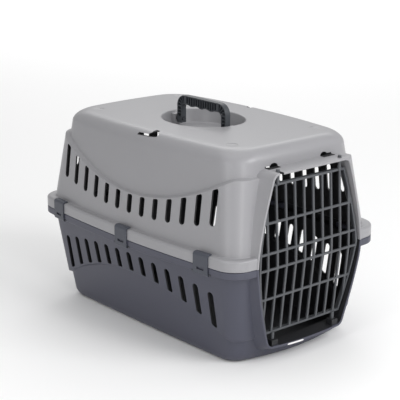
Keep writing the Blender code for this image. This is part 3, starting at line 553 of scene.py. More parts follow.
def lower_step_z(y):
    return LOWER_STEP_MIDDLE_Z - (LOWER_STEP_MIDDLE_Z - LOWER_STEP_END_Z) * step_end_share(y)


def upper_inset(z):
    return RIM_FLANGE + UPPER_DRAFT * (z - RIM_TOP_Z)


def lower_inset(z):
    return RIM_FLANGE + LOWER_DRAFT * (RIM_BOTTOM_Z - z)


def upper_corner(z):
    return blend(WALL_CORNER, TOP_CORNER, (z - RIM_TOP_Z) / (TOP_EDGE_Z - RIM_TOP_Z))


def lower_side_bow(z):
    return blend(BASE_SIDE_BOW, RIM_SIDE_BOW, z / RIM_BOTTOM_Z)


def base_share(z):
    return max(0, 1 - z / BASE_END_HEIGHT) ** 2


def lower_end_bow(z):
    return blend(RIM_END_BOW, BASE_END_BOW, 0.2 * (1 - z / RIM_BOTTOM_Z) + 0.8 * base_share(z))


def lower_corner(z):
    return blend(BASE_CORNER, WALL_CORNER, z / RIM_BOTTOM_Z)


def upper_point(station, z, inset):
    return plan_point(station, inset, upper_corner(z), RIM_SIDE_BOW)


def lower_point(station, z, inset):
    end_inset = BASE_END_INSET * base_share(z)
    return plan_point(station, inset, lower_corner(z), lower_side_bow(z), lower_end_bow(z), end_inset)


def step_ring(point, wall_inset, step_z, extra, shift):
    """A wall's ring along its step line, moved inwards by extra and up by shift."""
    ring = []
    for station in STATIONS:
        z = step_z(0)
        for _ in range(STEP_ROUNDS):  # the height depends on y, and y on the height
            z = step_z(point(station, z, wall_inset(z))[1])
        z += shift
        ring.append((*point(station, z, wall_inset(z) + extra), z))
    return ring


def upper_step_ring(extra, lift):
    return step_ring(upper_point, upper_inset, upper_step_z, extra, lift)


def lower_step_ring(extra, drop):
    return step_ring(lower_point, lower_inset, lower_step_z, extra, -drop)


def lower_ring(z, inset, extra=0):
    return [(*lower_point(station, z, inset), z + extra) for station in STATIONS]


def top_z(x, y):
    return TOP_Z - TOP_CROWN * (y / RIM_HALF_LENGTH) ** 2 - TOP_CROWN * (x / RIM_HALF_WIDTH) ** 2


def recess_ring(z, shrink):
    """An oval ring whose points face those of the plan loops. Its z is the top's, plus z if z is under 0."""
    ring = []
    for across, along in [plan_point(s, 0, RIM_CORNER, 0, 0) for s in STATIONS]:
        turn = atan2(along / RIM_HALF_LENGTH, across / RIM_HALF_WIDTH)
        x = (RECESS_HALF_WIDTH - shrink) * cos(turn)
        y = (RECESS_HALF_LENGTH - shrink) * sin(turn)
        ring.append((x, y, top_z(x, y) + z if z <= 0 else z))
    return ring


# Door opening


def opening_half_width(z):
    height = abs(z - OPENING_WAIST_Z)
    return OPENING_HALF_WIDTH - OPENING_TAPER * (height / OPENING_TAPER_HEIGHT) ** OPENING_TAPER_POWER


def rounded_corner(before, corner, after, radius, steps=8):
    corner = Vector(corner)
    back = (Vector(before) - corner).normalized()
    ahead = (Vector(after) - corner).normalized()
    half_turn = back.angle(ahead) / 2
    reach = radius / (sin(half_turn) / cos(half_turn))
    centre = corner + (back + ahead).normalized() * radius / sin(half_turn)
    first = corner + back * reach - centre
    last = corner + ahead * reach - centre
    start = atan2(first.y, first.x)
    turn = (atan2(last.y, last.x) - start + pi) % (2 * pi) - pi
    turns = [start + turn * k / steps for k in range(steps + 1)]
    return [(centre.x + radius * cos(a), centre.y + radius * sin(a)) for a in turns]


def opening_outline(grow=0.0):
    """The opening as (x, z) points, anticlockwise from the bottom right, grown outwards."""
    bottom = OPENING_BOTTOM_Z - grow
    top = OPENING_TOP_Z + grow
    heights = [bottom + (top - bottom) * k / OPENING_STEPS for k in range(OPENING_STEPS + 1)]
    right = [(opening_half_width(z) + grow, z) for z in heights]
    radius = OPENING_CORNER + grow
    low_corner = rounded_corner((0, bottom), right[0], right[3], radius)
    high_corner = rounded_corner(right[-4], right[-1], (0, top), radius)
    middle = [p for p in right if low_corner[-1][1] + MM < p[1] < high_corner[0][1] - MM]
    side = low_corner + middle + high_corner
    flat = [i / 6 for i in range(-5, 6)]
    top_x, low_x = side[-1][0], side[0][0]
    top_run = [(-top_x * share, top) for share in flat]
    low_run = [(low_x * share, bottom) for share in flat]
    return side + top_run + [(-x, z) for x, z in reversed(side)] + low_run


def lip_y(x, z):
    bow = SILL_BOW * max(0, 1 - (x / SILL_HALF_WIDTH) ** 2)
    share = ease((LOWER_STEP_END_Z + SILL_BLEND / 2 - z) / SILL_BLEND)
    return LIP_Y + LIP_LEAN * max(0, LIP_LEAN_Z - z) - bow * share


def front_wall_y(x, z):
    """A depth just behind the front wall, so that the collar passes through it."""
    if z > SEAM_Z:
        inset = upper_inset(z) + blend(0, UPPER_STEP, (z - UPPER_STEP_END_Z) / STEP_DROP)
        bow = RIM_END_BOW
    else:
        inset = lower_inset(z) + blend(0, LOWER_STEP, (LOWER_STEP_END_Z - z) / STEP_DROP)
        inset += BASE_END_INSET * base_share(z)
        bow = lower_end_bow(z)
    half_width = RIM_HALF_WIDTH - inset
    return -(RIM_HALF_LENGTH - inset + bow * (1 - (x / half_width) ** 2)) + COLLAR_ROOT


def collar(upper):
    """Half of the collar: a section with a rounded lip, swept along the opening's outline."""
    outline = opening_outline()
    seam_z = SEAM_Z + (GAP / 2 if upper else -GAP / 2)
    seam_x = opening_half_width(seam_z)
    away = 1 if upper else -1
    kept = [p for p in outline if away * (p[1] - seam_z) > COLLAR_END_CLEARANCE]
    if not upper:
        first = next(k for k, (x, _) in enumerate(kept) if x < 0)
        kept = kept[first:] + kept[:first]
    ends = [(seam_x, seam_z), (-seam_x, seam_z)] if upper else [(-seam_x, seam_z), (seam_x, seam_z)]
    path = [ends[0]] + kept + [ends[1]]
    flare_z = COLLAR_FLARE_UP if upper else COLLAR_FLARE_DOWN
    r = LIP_ROUND
    turns = (0, pi / 6, pi / 3, pi / 2)
    inner_round = [(r - r * cos(a), r - r * sin(a)) for a in turns]
    outer_round = [(LIP_WIDTH - r + r * sin(a), r - r * cos(a)) for a in turns]
    rings = []
    for k, (x, z) in enumerate(path):
        before = Vector(path[max(0, k - 1)])
        after = Vector(path[min(len(path) - 1, k + 1)])
        along = (after - before).normalized()
        out = Vector((along.y, -along.x))
        if k in (0, len(path) - 1):
            out = Vector((copysign(1, x), 0))
        base = (x + out.x * COLLAR_FLARE_SIDE, z + out.y * flare_z)
        lip = lip_y(x, z)
        section = [(x, front_wall_y(x, z), z)]
        section += [(x + out.x * reach, lip + deep, z + out.y * reach)
                    for reach, deep in inner_round + outer_round]
        # a hollow curve from the lip down to the wall
        root = front_wall_y(*base)
        start = (x + out.x * LIP_WIDTH, z + out.y * LIP_WIDTH)
        for share in (0.25, 0.5, 0.75):
            spread = share ** 1.5
            section.append((blend(start[0], base[0], spread), blend(lip + r, root, share),
                            blend(start[1], base[1], spread)))
        section.append((base[0], root, base[1]))
        rings.append(section)
    return bridge(rings)


# Shells


def edge_profile(inset, z, width, height, steps):
    quarter = arc((0, 0), 1, 0, 90, steps)
    return [(inset + width * (1 - c), z + height * s) for c, s in quarter]


def crowned(ring, z, low_z, high_z):
    """Lowers a ring by the top's crown, in proportion to its place between low_z and high_z."""
    share = (z - low_z) / (high_z - low_z)
    return [(x, y, z - (TOP_Z - top_z(x, y)) * share) for x, y, z in ring]


def between(first, last, share):
    ring = []
    for (x0, y0, _), (x1, y1, _) in zip(first, last):
        x, y = blend(x0, x1, share), blend(y0, y1, share)
        ring.append((x, y, top_z(x, y)))
    return ring


def seam_rings(away):
    """The edge that meets the other shell, from its chamfer in to the wall's inside."""
    z = SEAM_Z + away * GAP / 2
    return [level_ring(z + away * SEAM_CHAMFER, 0), level_ring(z, SEAM_CHAMFER), level_ring(z, WALL)]


def upper_shell_body():
    """(shape, number of the first inside face, number after the last)."""
    rings = [recess_ring(RECESS_FLOOR_Z, RECESS_TAPER + RECESS_FLOOR_MIDDLE)]
    for share in (0, 0.3, 0.6, 0.85, 1):  # the floor's round edge
        turn = share * pi / 2
        rings.append(recess_ring(RECESS_FLOOR_Z + RECESS_FLOOR_ROUND * (1 - cos(turn)),
                                 RECESS_TAPER + RECESS_FLOOR_ROUND * (1 - sin(turn))))
    for share in (0, 0.33, 0.66, 1):  # the recess's upper edge
        turn = share * pi / 2
        shrink = RECESS_EDGE_TAPER * (1 - sin(turn)) - RECESS_EDGE_ROUND * (1 - cos(turn))
        rings.append(recess_ring(-RECESS_EDGE_ROUND * (1 - sin(turn)), shrink))
    edge_inset = upper_inset(TOP_EDGE_Z) + UPPER_STEP
    edge = edge_profile(edge_inset, TOP_EDGE_Z, TOP_EDGE_WIDTH, TOP_Z - TOP_EDGE_Z, 10)
    top_ring = crowned(level_ring(TOP_Z, edge[-1][0], TOP_CORNER), TOP_Z, TOP_EDGE_Z, TOP_Z)
    recess_edge = rings[-1]
    rings += [between(recess_edge, top_ring, share) for share in (0.05, 0.15, 0.3, 0.45, 0.6, 0.75, 0.9)]
    for inset, z in reversed(edge):
        rings.append(crowned(level_ring(z, inset, TOP_CORNER), z, TOP_EDGE_Z, TOP_Z))
    for share in (0, 0.25, 0.5, 0.75, 1):
        rings.append(upper_step_ring(UPPER_STEP * (1 - ease(share)), STEP_DROP * (1 - share) * STEP_SPREAD))
    for k in range(4):  # fillet between wall and rim
        turn = k * pi / 6
        z = RIM_TOP_Z + RIM_FILLET * (1 - sin(turn)) - RIM_FILLET_SINK
        rings.append(level_ring(z, RIM_FLANGE - RIM_FILLET * (1 - cos(turn)), WALL_CORNER))
    rings.append(level_ring(RIM_TOP_Z - RIM_TOP_FALL, RIM_ROUND + RIM_TOP_FLAT))
    for k in range(7):
        turn = k * pi / 12
        rings.append(level_ring(RIM_TOP_Z - RIM_ROUND * (1 - cos(turn)), RIM_ROUND * (1 - sin(turn))))
    rings += seam_rings(1)
    flange_z = RIM_TOP_Z - RIM_TOP_THICKENING
    first_inside = 1 + (len(rings) - 1) * len(STATIONS)
    rings += [level_ring(flange_z - WALL, WALL), level_ring(flange_z - WALL, RIM_FLANGE + WALL, WALL_CORNER)]
    rings += [upper_step_ring(WALL, 0), upper_step_ring(UPPER_STEP + WALL, STEP_DROP)]
    low_z, high_z = TOP_EDGE_Z - WALL / 2, TOP_Z - WALL
    inner_edge = edge_profile(edge_inset + WALL, low_z, TOP_EDGE_WIDTH - WALL, high_z - low_z, 5)
    for inset, z in inner_edge:
        rings.append(crowned(level_ring(z, inset, TOP_CORNER - WALL), z, low_z, high_z))
    rings += [recess_ring(-WALL, -WALL), recess_ring(RECESS_FLOOR_Z - WALL, RECESS_TAPER - WALL)]
    shape = bridge(rings)
    return shape, first_inside, len(shape[1])


def lower_shell_body():
    across, along = BASE_CAP_SHARES
    rings = [[(x * across, y * along, z) for x, y, z in lower_ring(0, BASE_INSET)]]
    edge = edge_profile(0, 0, BASE_INSET - BASE_EDGE_INSET, BASE_EDGE_Z, 8)
    for width, height in reversed(edge):
        rings.append(lower_ring(BASE_EDGE_Z - height, BASE_EDGE_INSET + width))
    for share in (1, 0.75, 0.5, 0.25, 0):
        rings.append(lower_step_ring(LOWER_STEP * ease(share), STEP_DROP * share * STEP_SPREAD))
    rings.append(lower_ring(RIM_BOTTOM_Z - RIM_FILLET, RIM_FLANGE))
    for k in range(1, 4):
        turn = k * pi / 6
        z = RIM_BOTTOM_Z - RIM_FILLET * (1 - sin(turn))
        rings.append([(*lower_point(s, z, RIM_FLANGE - RIM_FILLET * (1 - cos(turn))), z) for s in STATIONS])
    for k in range(5):
        turn = k * pi / 8
        rings.append(level_ring(RIM_BOTTOM_Z + RIM_LOW_ROUND * (1 - cos(turn)),
                                RIM_LOW_ROUND * (1 - sin(turn))))
    rings += seam_rings(-1)
    first_inside = 1 + (len(rings) - 1) * len(STATIONS)
    rings += [level_ring(RIM_BOTTOM_Z + WALL, WALL), lower_ring(RIM_BOTTOM_Z, RIM_FLANGE + WALL, WALL)]
    rings += [lower_step_ring(WALL, 0), lower_step_ring(LOWER_STEP + WALL, STEP_DROP)]
    for width, height in edge_profile(0, 0, BASE_INSET - BASE_EDGE_INSET, BASE_EDGE_Z, 5):
        rings.append(lower_ring(BASE_EDGE_Z - height * (1 - WALL / BASE_EDGE_Z),
                                BASE_EDGE_INSET + WALL + width))
    shape = bridge(rings)
    return shape, first_inside, len(shape[1])


def slot_outline(middle, width, round_z, cut_at):
    """One slot as (along, z): a round end at round_z, and a far end that follows the step line."""
    half = width / 2
    turn = copysign(1, cut_at(middle) - round_z)
    round_end = [(middle + half * cos(a), round_z + turn * (half + half * sin(a)))
                 for a in (pi + pi * k / 12 for k in range(13))]
    lip = -turn * SLOT_LIP
    ends = [(middle + half, cut_at(middle + half) + lip), (middle - half, cut_at(middle - half) + lip)]
    right = rounded_corner(round_end[-1], ends[0], ends[1], SLOT_CORNER, 3)
    left = rounded_corner(ends[0], ends[1], round_end[0], SLOT_CORNER, 3)
    return round_end + right + left


def vent_slots(upper):
    """All slots of one shell as one cutter: a row on each side, and one at the rear of the upper shell."""
    step_z = upper_step_z if upper else lower_step_z
    base_z = UPPER_SLOT_BOTTOM_Z if upper else LOWER_SLOT_TOP_Z
    away = 1 if upper else -1
    left_shift = LEFT_UPPER_ROW_SHIFT if upper else LEFT_LOWER_ROW_SHIFT
    slots = []
    for side, shift in ((-1, left_shift), (1, RIGHT_ROW_SHIFT)):
        depth = sorted(side * reach for reach in SLOT_CUT)
        for k in range(SIDE_SLOTS):
            y = (k - (SIDE_SLOTS - 1) / 2) * SLOT_PITCH + shift
            round_z = base_z + away * SLOT_END_SHIFT * (y / SLOT_ROW_END) ** 2
            slots.append(prism(slot_outline(y, SLOT_WIDTH, round_z, step_z), "X", *depth))
    if upper:
        end_z = step_z(SLOT_ROW_END)
        for k in range(REAR_SLOTS):
            x = (k - (REAR_SLOTS - 1) / 2) * SLOT_PITCH
            outline = slot_outline(x, REAR_SLOT_WIDTH, REAR_SLOT_BOTTOM_Z, lambda place: end_z)
            slots.append(prism(outline, "Y", *REAR_SLOT_CUT))
    return merged(slots)


def pin_y(z):
    share = (z - OPENING_BOTTOM_Z) / (OPENING_TOP_Z - OPENING_BOTTOM_Z)
    return DOOR_PIN_LOW_Y + (DOOR_PIN_HIGH_Y - DOOR_PIN_LOW_Y) * share


def leaned(shape):
    points, faces = shape
    return [(x, y + pin_y(z), z) for x, y, z in points], faces


def pin_windows():
    """The arched window in the front wall beside each door pin, with the slit that runs on from it."""
    near, far = WINDOW_X
    low, spring, top = WINDOW_Z
    slit_low, slit_high = WINDOW_SLIT_Z
    middle, half = (near + far) / 2, (far - near) / 2
    arch = [(middle + half * c, spring + (top - spring) * s) for c, s in arc((0, 0), 1, 15, 180, 20)]
    outline = [(near, low), (far, low), (far, slit_low), (WINDOW_SLIT_X, slit_low),
               (WINDOW_SLIT_X, slit_high), (far, slit_high)] + arch
    mirrored = [(-x, z) for x, z in outline]
    return merged([prism(outline, "Y", *WINDOW_CUT), prism(mirrored, "Y", *WINDOW_CUT)])


def add_collar(shell, upper):
    carve(shell, "DIFFERENCE", prism(opening_outline(OPENING_CLEARANCE), "Y", *OPENING_CUT))
    carve(shell, "UNION", collar(upper))
    if upper:
        low, high = OPENING_TOP_Z - PIN_HOLE_REACH[0], OPENING_TOP_Z + PIN_HOLE_REACH[1]
        # painted shade: the windows' cut faces take the dark painted-shade finish
        carve(shell, "DIFFERENCE", pin_windows(), material=PAINTED_SHADE)
        hinge_hole = prism(circle((DOOR_PIN_X, 0), PIN_HOLE_RADIUS), "Z", low, high)
        front = LIP_Y - DOOR_PIN_HIGH_Y - NOTCH_REACH
        notch = ([(-DOOR_PIN_X - PIN_HOLE_RADIUS, front), (-DOOR_PIN_X + PIN_HOLE_RADIUS + MM, front)]
                 + arc((-DOOR_PIN_X, 0), PIN_HOLE_RADIUS, 0, 180, 12))
        notch_cut = leaned(prism(notch, "Z", low, high))
        # painted shade: the faces of the hinge hole and the notch take the dark finish
        carve(shell, "DIFFERENCE", leaned(hinge_hole), notch_cut, material=PAINTED_SHADE)
    else:
        middle = pin_y(PIN_BLOCK_TOP_Z)
        across = (DOOR_PIN_X - PIN_BLOCK_HALF, DOOR_PIN_X + PIN_BLOCK_HALF)
        blocks = [box(sorted(side * x for x in across), (middle - PIN_BLOCK_HALF, middle + PIN_BLOCK_HALF),
                      (OPENING_BOTTOM_Z - PIN_BLOCK_ROOT, PIN_BLOCK_TOP_Z)) for side in (-1, 1)]
        # painted shade: the pin blocks take the dark painted-shade finish
        carve(shell, "UNION", *blocks, material=PAINTED_SHADE)
        hinge_hole = prism(circle((DOOR_PIN_X, 0), PIN_HOLE_RADIUS), "Z",
                           DOOR_PIN_BOTTOM_Z - GAP, PIN_BLOCK_TOP_Z + MM)
        # painted shade on the faces of the hinge hole
        carve(shell, "DIFFERENCE", leaned(hinge_hole), material=PAINTED_SHADE)


def paint_sill_shade(shell):
    """Paints shade on the faces that line the doorway: they take the dark painted-shade finish."""
    for face in shell.data.polygons:
        x, y, z = face.center
        on_lining = abs(x) < opening_half_width(z) + 0.4 * MM and z > OPENING_BOTTOM_Z - 0.4 * MM
        if on_lining and lip_y(x, z) + 2 * MM < y < LINING_END_Y:
            face.material_index = PAINTED_SHADE


def strap_hole_outline(middle, wide_end):
    """A strap hole as (y, z): a narrow slot whose wide end opens onto the top."""
    end = STRAP_HOLE_LENGTH / 2
    above_top = 5.8 * MM
    lower_edge = [(-end, -2.4 * MM), (4 * MM, -1.4 * MM), (15 * MM, -0.8 * MM), (end, 0.4 * MM)]
    wide_edge = [(end, 3 * MM), (13 * MM, 4.6 * MM), (7 * MM, above_top), (MM, above_top)]
    upper_edge = [(4 * MM, 3.5 * MM), (MM, 1.4 * MM), (-end, 0.6 * MM)]
    return [(middle + wide_end * along, STRAP_HOLE_Z + rise)
            for along, rise in lower_edge + wide_edge + upper_edge]


def dimple(x, y):
    """A flat lens that presses a shallow round mark into the top."""
    centre_z = top_z(x, y)
    rings = []
    for k in range(1, 8):
        turn = pi * k / 8
        reach, height = DIMPLE_RADIUS * sin(turn), -DIMPLE_DEPTH * cos(turn)
        rings.append([(x + reach * cos(a), y + reach * sin(a), centre_z + height)
                      for a in (2 * pi * j / 24 for j in range(24))])
    return bridge(rings)


# inside is the painted-shade material: a near-black finish for the inside faces and the cuts
def make_upper_shell(outside, inside):
    shape, first, last = upper_shell_body()
    shell = solid("upper_shell_moulding", shape, (outside, inside), first, last)
    add_collar(shell, True)
    # painted shade: the slots' cut faces take the dark painted-shade finish
    carve(shell, "DIFFERENCE", vent_slots(True), material=PAINTED_SHADE)
    for side, middle in zip((-1, 1), STRAP_HOLE_PLACES):
        depth = sorted(side * reach for reach in STRAP_HOLE_CUT)
        # painted shade: the strap holes' cut faces take the dark finish
        carve(shell, "DIFFERENCE", prism(strap_hole_outline(middle, side), "X", *depth), material=PAINTED_SHADE)
    dimples = [dimple(x, y) for x in (-DIMPLE_X, DIMPLE_X) for y in (-DIMPLE_Y, DIMPLE_Y)]
    carve(shell, "DIFFERENCE", *dimples)
    return shell


# inside is the painted-shade material: a near-black finish for the inside faces and the cuts
def make_lower_shell(outside, inside):
    shape, first, last = lower_shell_body()
    shell = solid("lower_shell_moulding", shape, (outside, inside), first, last)
    add_collar(shell, False)
    # painted shade on the doorway's lining
    paint_sill_shade(shell)
    # painted shade: the slots' cut faces take the dark painted-shade finish
    carve(shell, "DIFFERENCE", vent_slots(False), material=PAINTED_SHADE)
    round_edges(shell, 0.4 * MM, angle=50)
    return shell


# Rim clips


def rim_frames():
    """Clip name to its frame: origin on the clip's hinge, X along the rim, Y outwards, Z up."""
    frames = {}
    for side, side_name in ((-1, "left"), (1, "right")):
        for place_name, y in SIDE_CLIP_PLACES.items():
            x = RIM_HALF_WIDTH + RIM_SIDE_BOW * (1 - (y / RIM_HALF_LENGTH) ** 2)
            out = Vector((side, 2 * RIM_SIDE_BOW * y / RIM_HALF_LENGTH**2, 0)).normalized()
            frames[f"clip_{side_name}_{place_name}"] = (Vector((side * x, y, 0)), out)
        x = side * REAR_CLIP_PLACE
        bow = RIM_END_BOW * REAR_BOW_SHARE
        y = RIM_HALF_LENGTH + bow * (1 - (x / RIM_HALF_WIDTH) ** 2)
        out = Vector((2 * bow * x / RIM_HALF_WIDTH**2, 1, 0)).normalized()
        frames[f"clip_rear_{side_name}"] = (Vector((x, y, 0)), out)
    matrices = {}
    for name, (origin, out) in frames.items():
        along = out.cross(Vector((0, 0, 1)))
        pivot = origin + out * CLIP_PIVOT_OUT + Vector((0, 0, CLIP_PIVOT_Z))
        turn = Matrix((along, out, Vector((0, 0, 1)))).transposed().to_4x4()
        matrices[name] = Matrix.Translation(pivot) @ turn
    return matrices


def clip_outline():
    """The clip's section as (out, up) from its hinge: barrel, plate and a rounded hook over the rim."""
    top = CLIP_TOP_Z - CLIP_PIVOT_Z
    under = CLIP_HOOK_UNDER_Z - CLIP_PIVOT_Z
    barrel = arc((0, 0), CLIP_BARREL, 64, 360, 24)
    over = arc((CLIP_BARREL - CLIP_SHOULDER, top - CLIP_SHOULDER), CLIP_SHOULDER, 0, 90, 8)
    inner_middle = (CLIP_PLATE_IN - CLIP_INNER_ROUND, under - CLIP_INNER_ROUND)
    inner_round = arc(inner_middle, CLIP_INNER_ROUND, 90, 0, 6)
    return barrel + over + [(-CLIP_HOOK_REACH, top), (-CLIP_HOOK_REACH, under)] + inner_round


def make_clips(lower_shell, plastic_material, pin_material):
    half = CLIP_WIDTH / 2
    pocket_half = POCKET_WIDTH / 2
    hole_radius = CLIP_PIN_RADIUS + GAP
    bosses = []
    pockets = []
    for name, matrix in rim_frames().items():
        clip = solid(name + "_moulding", prism(clip_outline(), "X", -half, half),
                     (plastic_material, pin_material))
        carve(clip, "DIFFERENCE", prism(circle((0, 0), hole_radius), "X", -half - MM, half + MM))
        # painted shade: the finger slot's faces take the darker pin plastic, the clip's second slot
        carve(clip, "DIFFERENCE", box(*FINGER_SLOT), material=PAINTED_SHADE)
        soften(clip, width=0.45 * MM)
        clip.data.transform(matrix)
        stand_for(clip, name, "clips", name)
        pin_half = pocket_half + PIN_SOCKET_DEPTH - GAP
        pin = solid(name + "_pin_turned", prism(circle((0, 0), CLIP_PIN_RADIUS), "X", -pin_half, pin_half),
                    (pin_material,))
        soften(pin, width=0.3 * MM)
        pin.data.transform(matrix)
        stand_for(pin, "carrier", "pins", name + "_pin")
        bosses.append(moved(box(*CLIP_BOSS), matrix))
        pockets.append(moved(box((-pocket_half, pocket_half), (-POCKET_DEPTH, POCKET_REACH),
                                 (-POCKET_REACH, POCKET_DEPTH)), matrix))
        socket_half = pocket_half + PIN_SOCKET_DEPTH
        pockets.append(moved(prism(circle((0, 0), hole_radius), "X", -socket_half, socket_half), matrix))
    carve(lower_shell, "UNION", *bosses)
    carve(lower_shell, "DIFFERENCE", *pockets[0::2])
    carve(lower_shell, "DIFFERENCE", *pockets[1::2])


# Handle


def grip_wave(y, under):
    return under - GRIP_SCALLOP * cos(pi * y / SCALLOP_PITCH) ** 2


def handle_outline():
    """The handle's side view as (y, z - pivot): legs, round shoulders, wavy grip."""
    top = HANDLE_TOP_Z - HANDLE_PIVOT_Z
    under = GRIP_UNDERSIDE_Z - HANDLE_PIVOT_Z
    foot = -FOOT_BELOW_PIVOT
    outside = HANDLE_HALF_LENGTH
    inner = HANDLE_HALF_LENGTH - HANDLE_LEG
    outer = arc((outside - HANDLE_CORNER, top - HANDLE_CORNER), HANDLE_CORNER, 0, 90, 12)
    shoulder = HANDLE_INNER_CORNER
    inner_corner = arc((inner - shoulder, under - shoulder), shoulder, 90, 0, 8)
    reach = 1.5 * SCALLOP_PITCH
    wave = [(y, grip_wave(y, under)) for y in (reach * k / 24 for k in range(-24, 25))]
    right = [(outside, foot)] + outer
    left = [(-y, z) for y, z in reversed(outer)] + [(-outside, foot)]
    left_inside = [(-inner, foot)] + [(-y, z) for y, z in reversed(inner_corner)]
    return right + left + left_inside + wave + inner_corner + [(inner, foot)]


def handle_pockets():
    """The hollows between the handle's ribs, on both sides, as (y, z) polygons: grip, shoulders, legs."""
    top = HANDLE_TOP_Z - HANDLE_PIVOT_Z - HANDLE_SKIN
    under = GRIP_UNDERSIDE_Z - HANDLE_PIVOT_Z + HANDLE_SKIN
    half = (HANDLE_RIB_PITCH - HANDLE_RIB) / 2
    polygons = []
    for k in range(-6, 7):
        y = k * HANDLE_RIB_PITCH
        edge = [(y + half * share, grip_wave(y + half * share, under)) for share in (-1, -0.5, 0, 0.5, 1)]
        polygons.append(edge + [(y + half, top), (y - half, top)])
    # shoulders: wedges about a point inside the corner
    hub = (HANDLE_HALF_LENGTH - HANDLE_CORNER, HANDLE_TOP_Z - HANDLE_PIVOT_Z - HANDLE_CORNER)
    far = HANDLE_CORNER - HANDLE_SKIN
    for middle in WEDGE_TURNS:
        wedge = arc(hub, WEDGE_NEAR, middle - WEDGE_NEAR_SPREAD, middle + WEDGE_NEAR_SPREAD, 1)
        wedge += arc(hub, far, middle + WEDGE_FAR_SPREAD, middle - WEDGE_FAR_SPREAD, 2)
        polygons += [wedge, [(-y, z) for y, z in reversed(wedge)]]
    inner = HANDLE_HALF_LENGTH - HANDLE_LEG + HANDLE_SKIN
    outer = HANDLE_HALF_LENGTH - HANDLE_SKIN
    for k in range(3):
        z = LEG_HOLLOW_Z - k * HANDLE_RIB_PITCH
        leg = [(inner, z - half), (outer, z - half), (outer, z + half), (inner, z + half)]
        polygons += [leg, [(-y, z_) for y, z_ in reversed(leg)]]
    return polygons


def make_handle(upper_shell, grip_material, pin_material):
    place = Matrix.Translation((0, 0, HANDLE_PIVOT_Z))
    handle = solid("handle_moulding", prism(handle_outline(), "X", -HANDLE_HALF_WIDTH, HANDLE_HALF_WIDTH),
                   (grip_material,))
    web = HANDLE_WEB / 2
    hollows = []
    for polygon in handle_pockets():
        hollows.append(prism(polygon, "X", -HANDLE_HALF_WIDTH - MM, -web))
        hollows.append(prism(polygon, "X", web, HANDLE_HALF_WIDTH + MM))
    carve(handle, "DIFFERENCE", *hollows)
    carve(handle, "DIFFERENCE",
          prism(circle((0, 0), HANDLE_PIN_RADIUS + GAP), "Y", -HANDLE_BORE_END, HANDLE_BORE_END))
    soften(handle, width=0.55 * MM)
    handle.data.transform(place)
    stand_for(handle, "handle", "handle", "handle_grip")

    face = HANDLE_HALF_LENGTH + GAP
    collar_end = face + HANDLE_PIN_COLLAR_WIDTH
    steps = ((HANDLE_HALF_LENGTH - HANDLE_LEG - MM, HANDLE_PIN_RADIUS), (face, HANDLE_PIN_RADIUS),
             (face, HANDLE_PIN_COLLAR), (collar_end, HANDLE_PIN_COLLAR), (collar_end, HANDLE_PIN_RADIUS),
             (HANDLE_PIN_END, HANDLE_PIN_RADIUS))
    bosses = []
    sockets = []
    for name, side in (("handle_pin_front", -1), ("handle_pin_rear", 1)):
        rings = [[(x, side * y, z) for x, z in circle((0, 0), radius)] for y, radius in steps]
        pin = solid(name + "_turned", bridge(rings), (pin_material,))
        soften(pin, width=0.4 * MM)
        pin.data.transform(place)
        stand_for(pin, "handle", "pins", name)
        near = side * (collar_end + GAP)
        bosses.append(box((-HANDLE_BOSS_HALF_WIDTH, HANDLE_BOSS_HALF_WIDTH),
                          sorted((near, side * HANDLE_BOSS_END)), (RECESS_FLOOR_Z - MM, HANDLE_BOSS_TOP_Z)))
        depth = sorted((side * (collar_end - MM), side * (HANDLE_PIN_END + GAP)))
        sockets.append(moved(prism(circle((0, 0), HANDLE_PIN_RADIUS + GAP), "Y", *depth), place))
    carve(upper_shell, "UNION", *bosses)
    carve(upper_shell, "DIFFERENCE", *sockets)


# Door


def door_half_width(z):
    return opening_half_width(z) - DOOR_GAP


def door_front_y(z):
    above = z - DOOR_BEND_Z
    return DOOR_BEND_Y + (DOOR_LEAN_ABOVE * above if above > 0 else -DOOR_LEAN_BELOW * above)


def clipped(polygon, a, b):
    """The part of a polygon on the left of the line from a to b."""
    def side(p):
        return (b[0] - a[0]) * (p[1] - a[1]) - (b[1] - a[1]) * (p[0] - a[0])

    kept = []
    for k, here in enumerate(polygon):
        there = polygon[(k + 1) % len(polygon)]
        if side(here) >= 0:
            kept.append(here)
        if side(here) * side(there) < 0:
            share = side(here) / (side(here) - side(there))
            kept.append((here[0] + (there[0] - here[0]) * share, here[1] + (there[1] - here[1]) * share))
    return kept


def area(polygon):
    return sum(p[0] * q[1] - q[0] * p[1] for p, q in zip(polygon, polygon[1:] + polygon[:1])) / 2


def door_frame(shrink):
    half = BAR_WIDTH / 2
    heights = sorted(set(CROSSBAR_HEIGHTS[1:-1]) | DOOR_FRAME_HEIGHTS | {DOOR_BEND_Z})
    bottom = CROSSBAR_HEIGHTS[0] - half + shrink
    top = CROSSBAR_HEIGHTS[-1] + half - shrink
    right = [(door_half_width(z) - shrink, z) for z in [bottom] + heights + [top]]
    return right + [(-x, z) for x, z in reversed(right)]


def door_windows():
    half = BAR_WIDTH / 2
    bars = [(k - 0.5) * BAR_PITCH for k in range(1 - BARS_EACH_SIDE, BARS_EACH_SIDE + 1)]
    edges = [-LATTICE_HALF_WIDTH] + bars + [LATTICE_HALF_WIDTH]
    inner = door_frame(BAR_WIDTH)
    windows = []
    for left, right in zip(edges, edges[1:]):
        for low, high in zip(CROSSBAR_HEIGHTS, CROSSBAR_HEIGHTS[1:]):
            window = [(left + half, low + half), (right - half, low + half),
                      (right - half, high - half), (left + half, high - half)]
            for a, b in zip(inner, inner[1:] + inner[:1]):
                window = clipped(window, a, b)
                if len(window) < 3:
                    break
            if len(window) >= 3 and area(window) > SMALLEST_WINDOW:
                windows.append(window)
    return windows


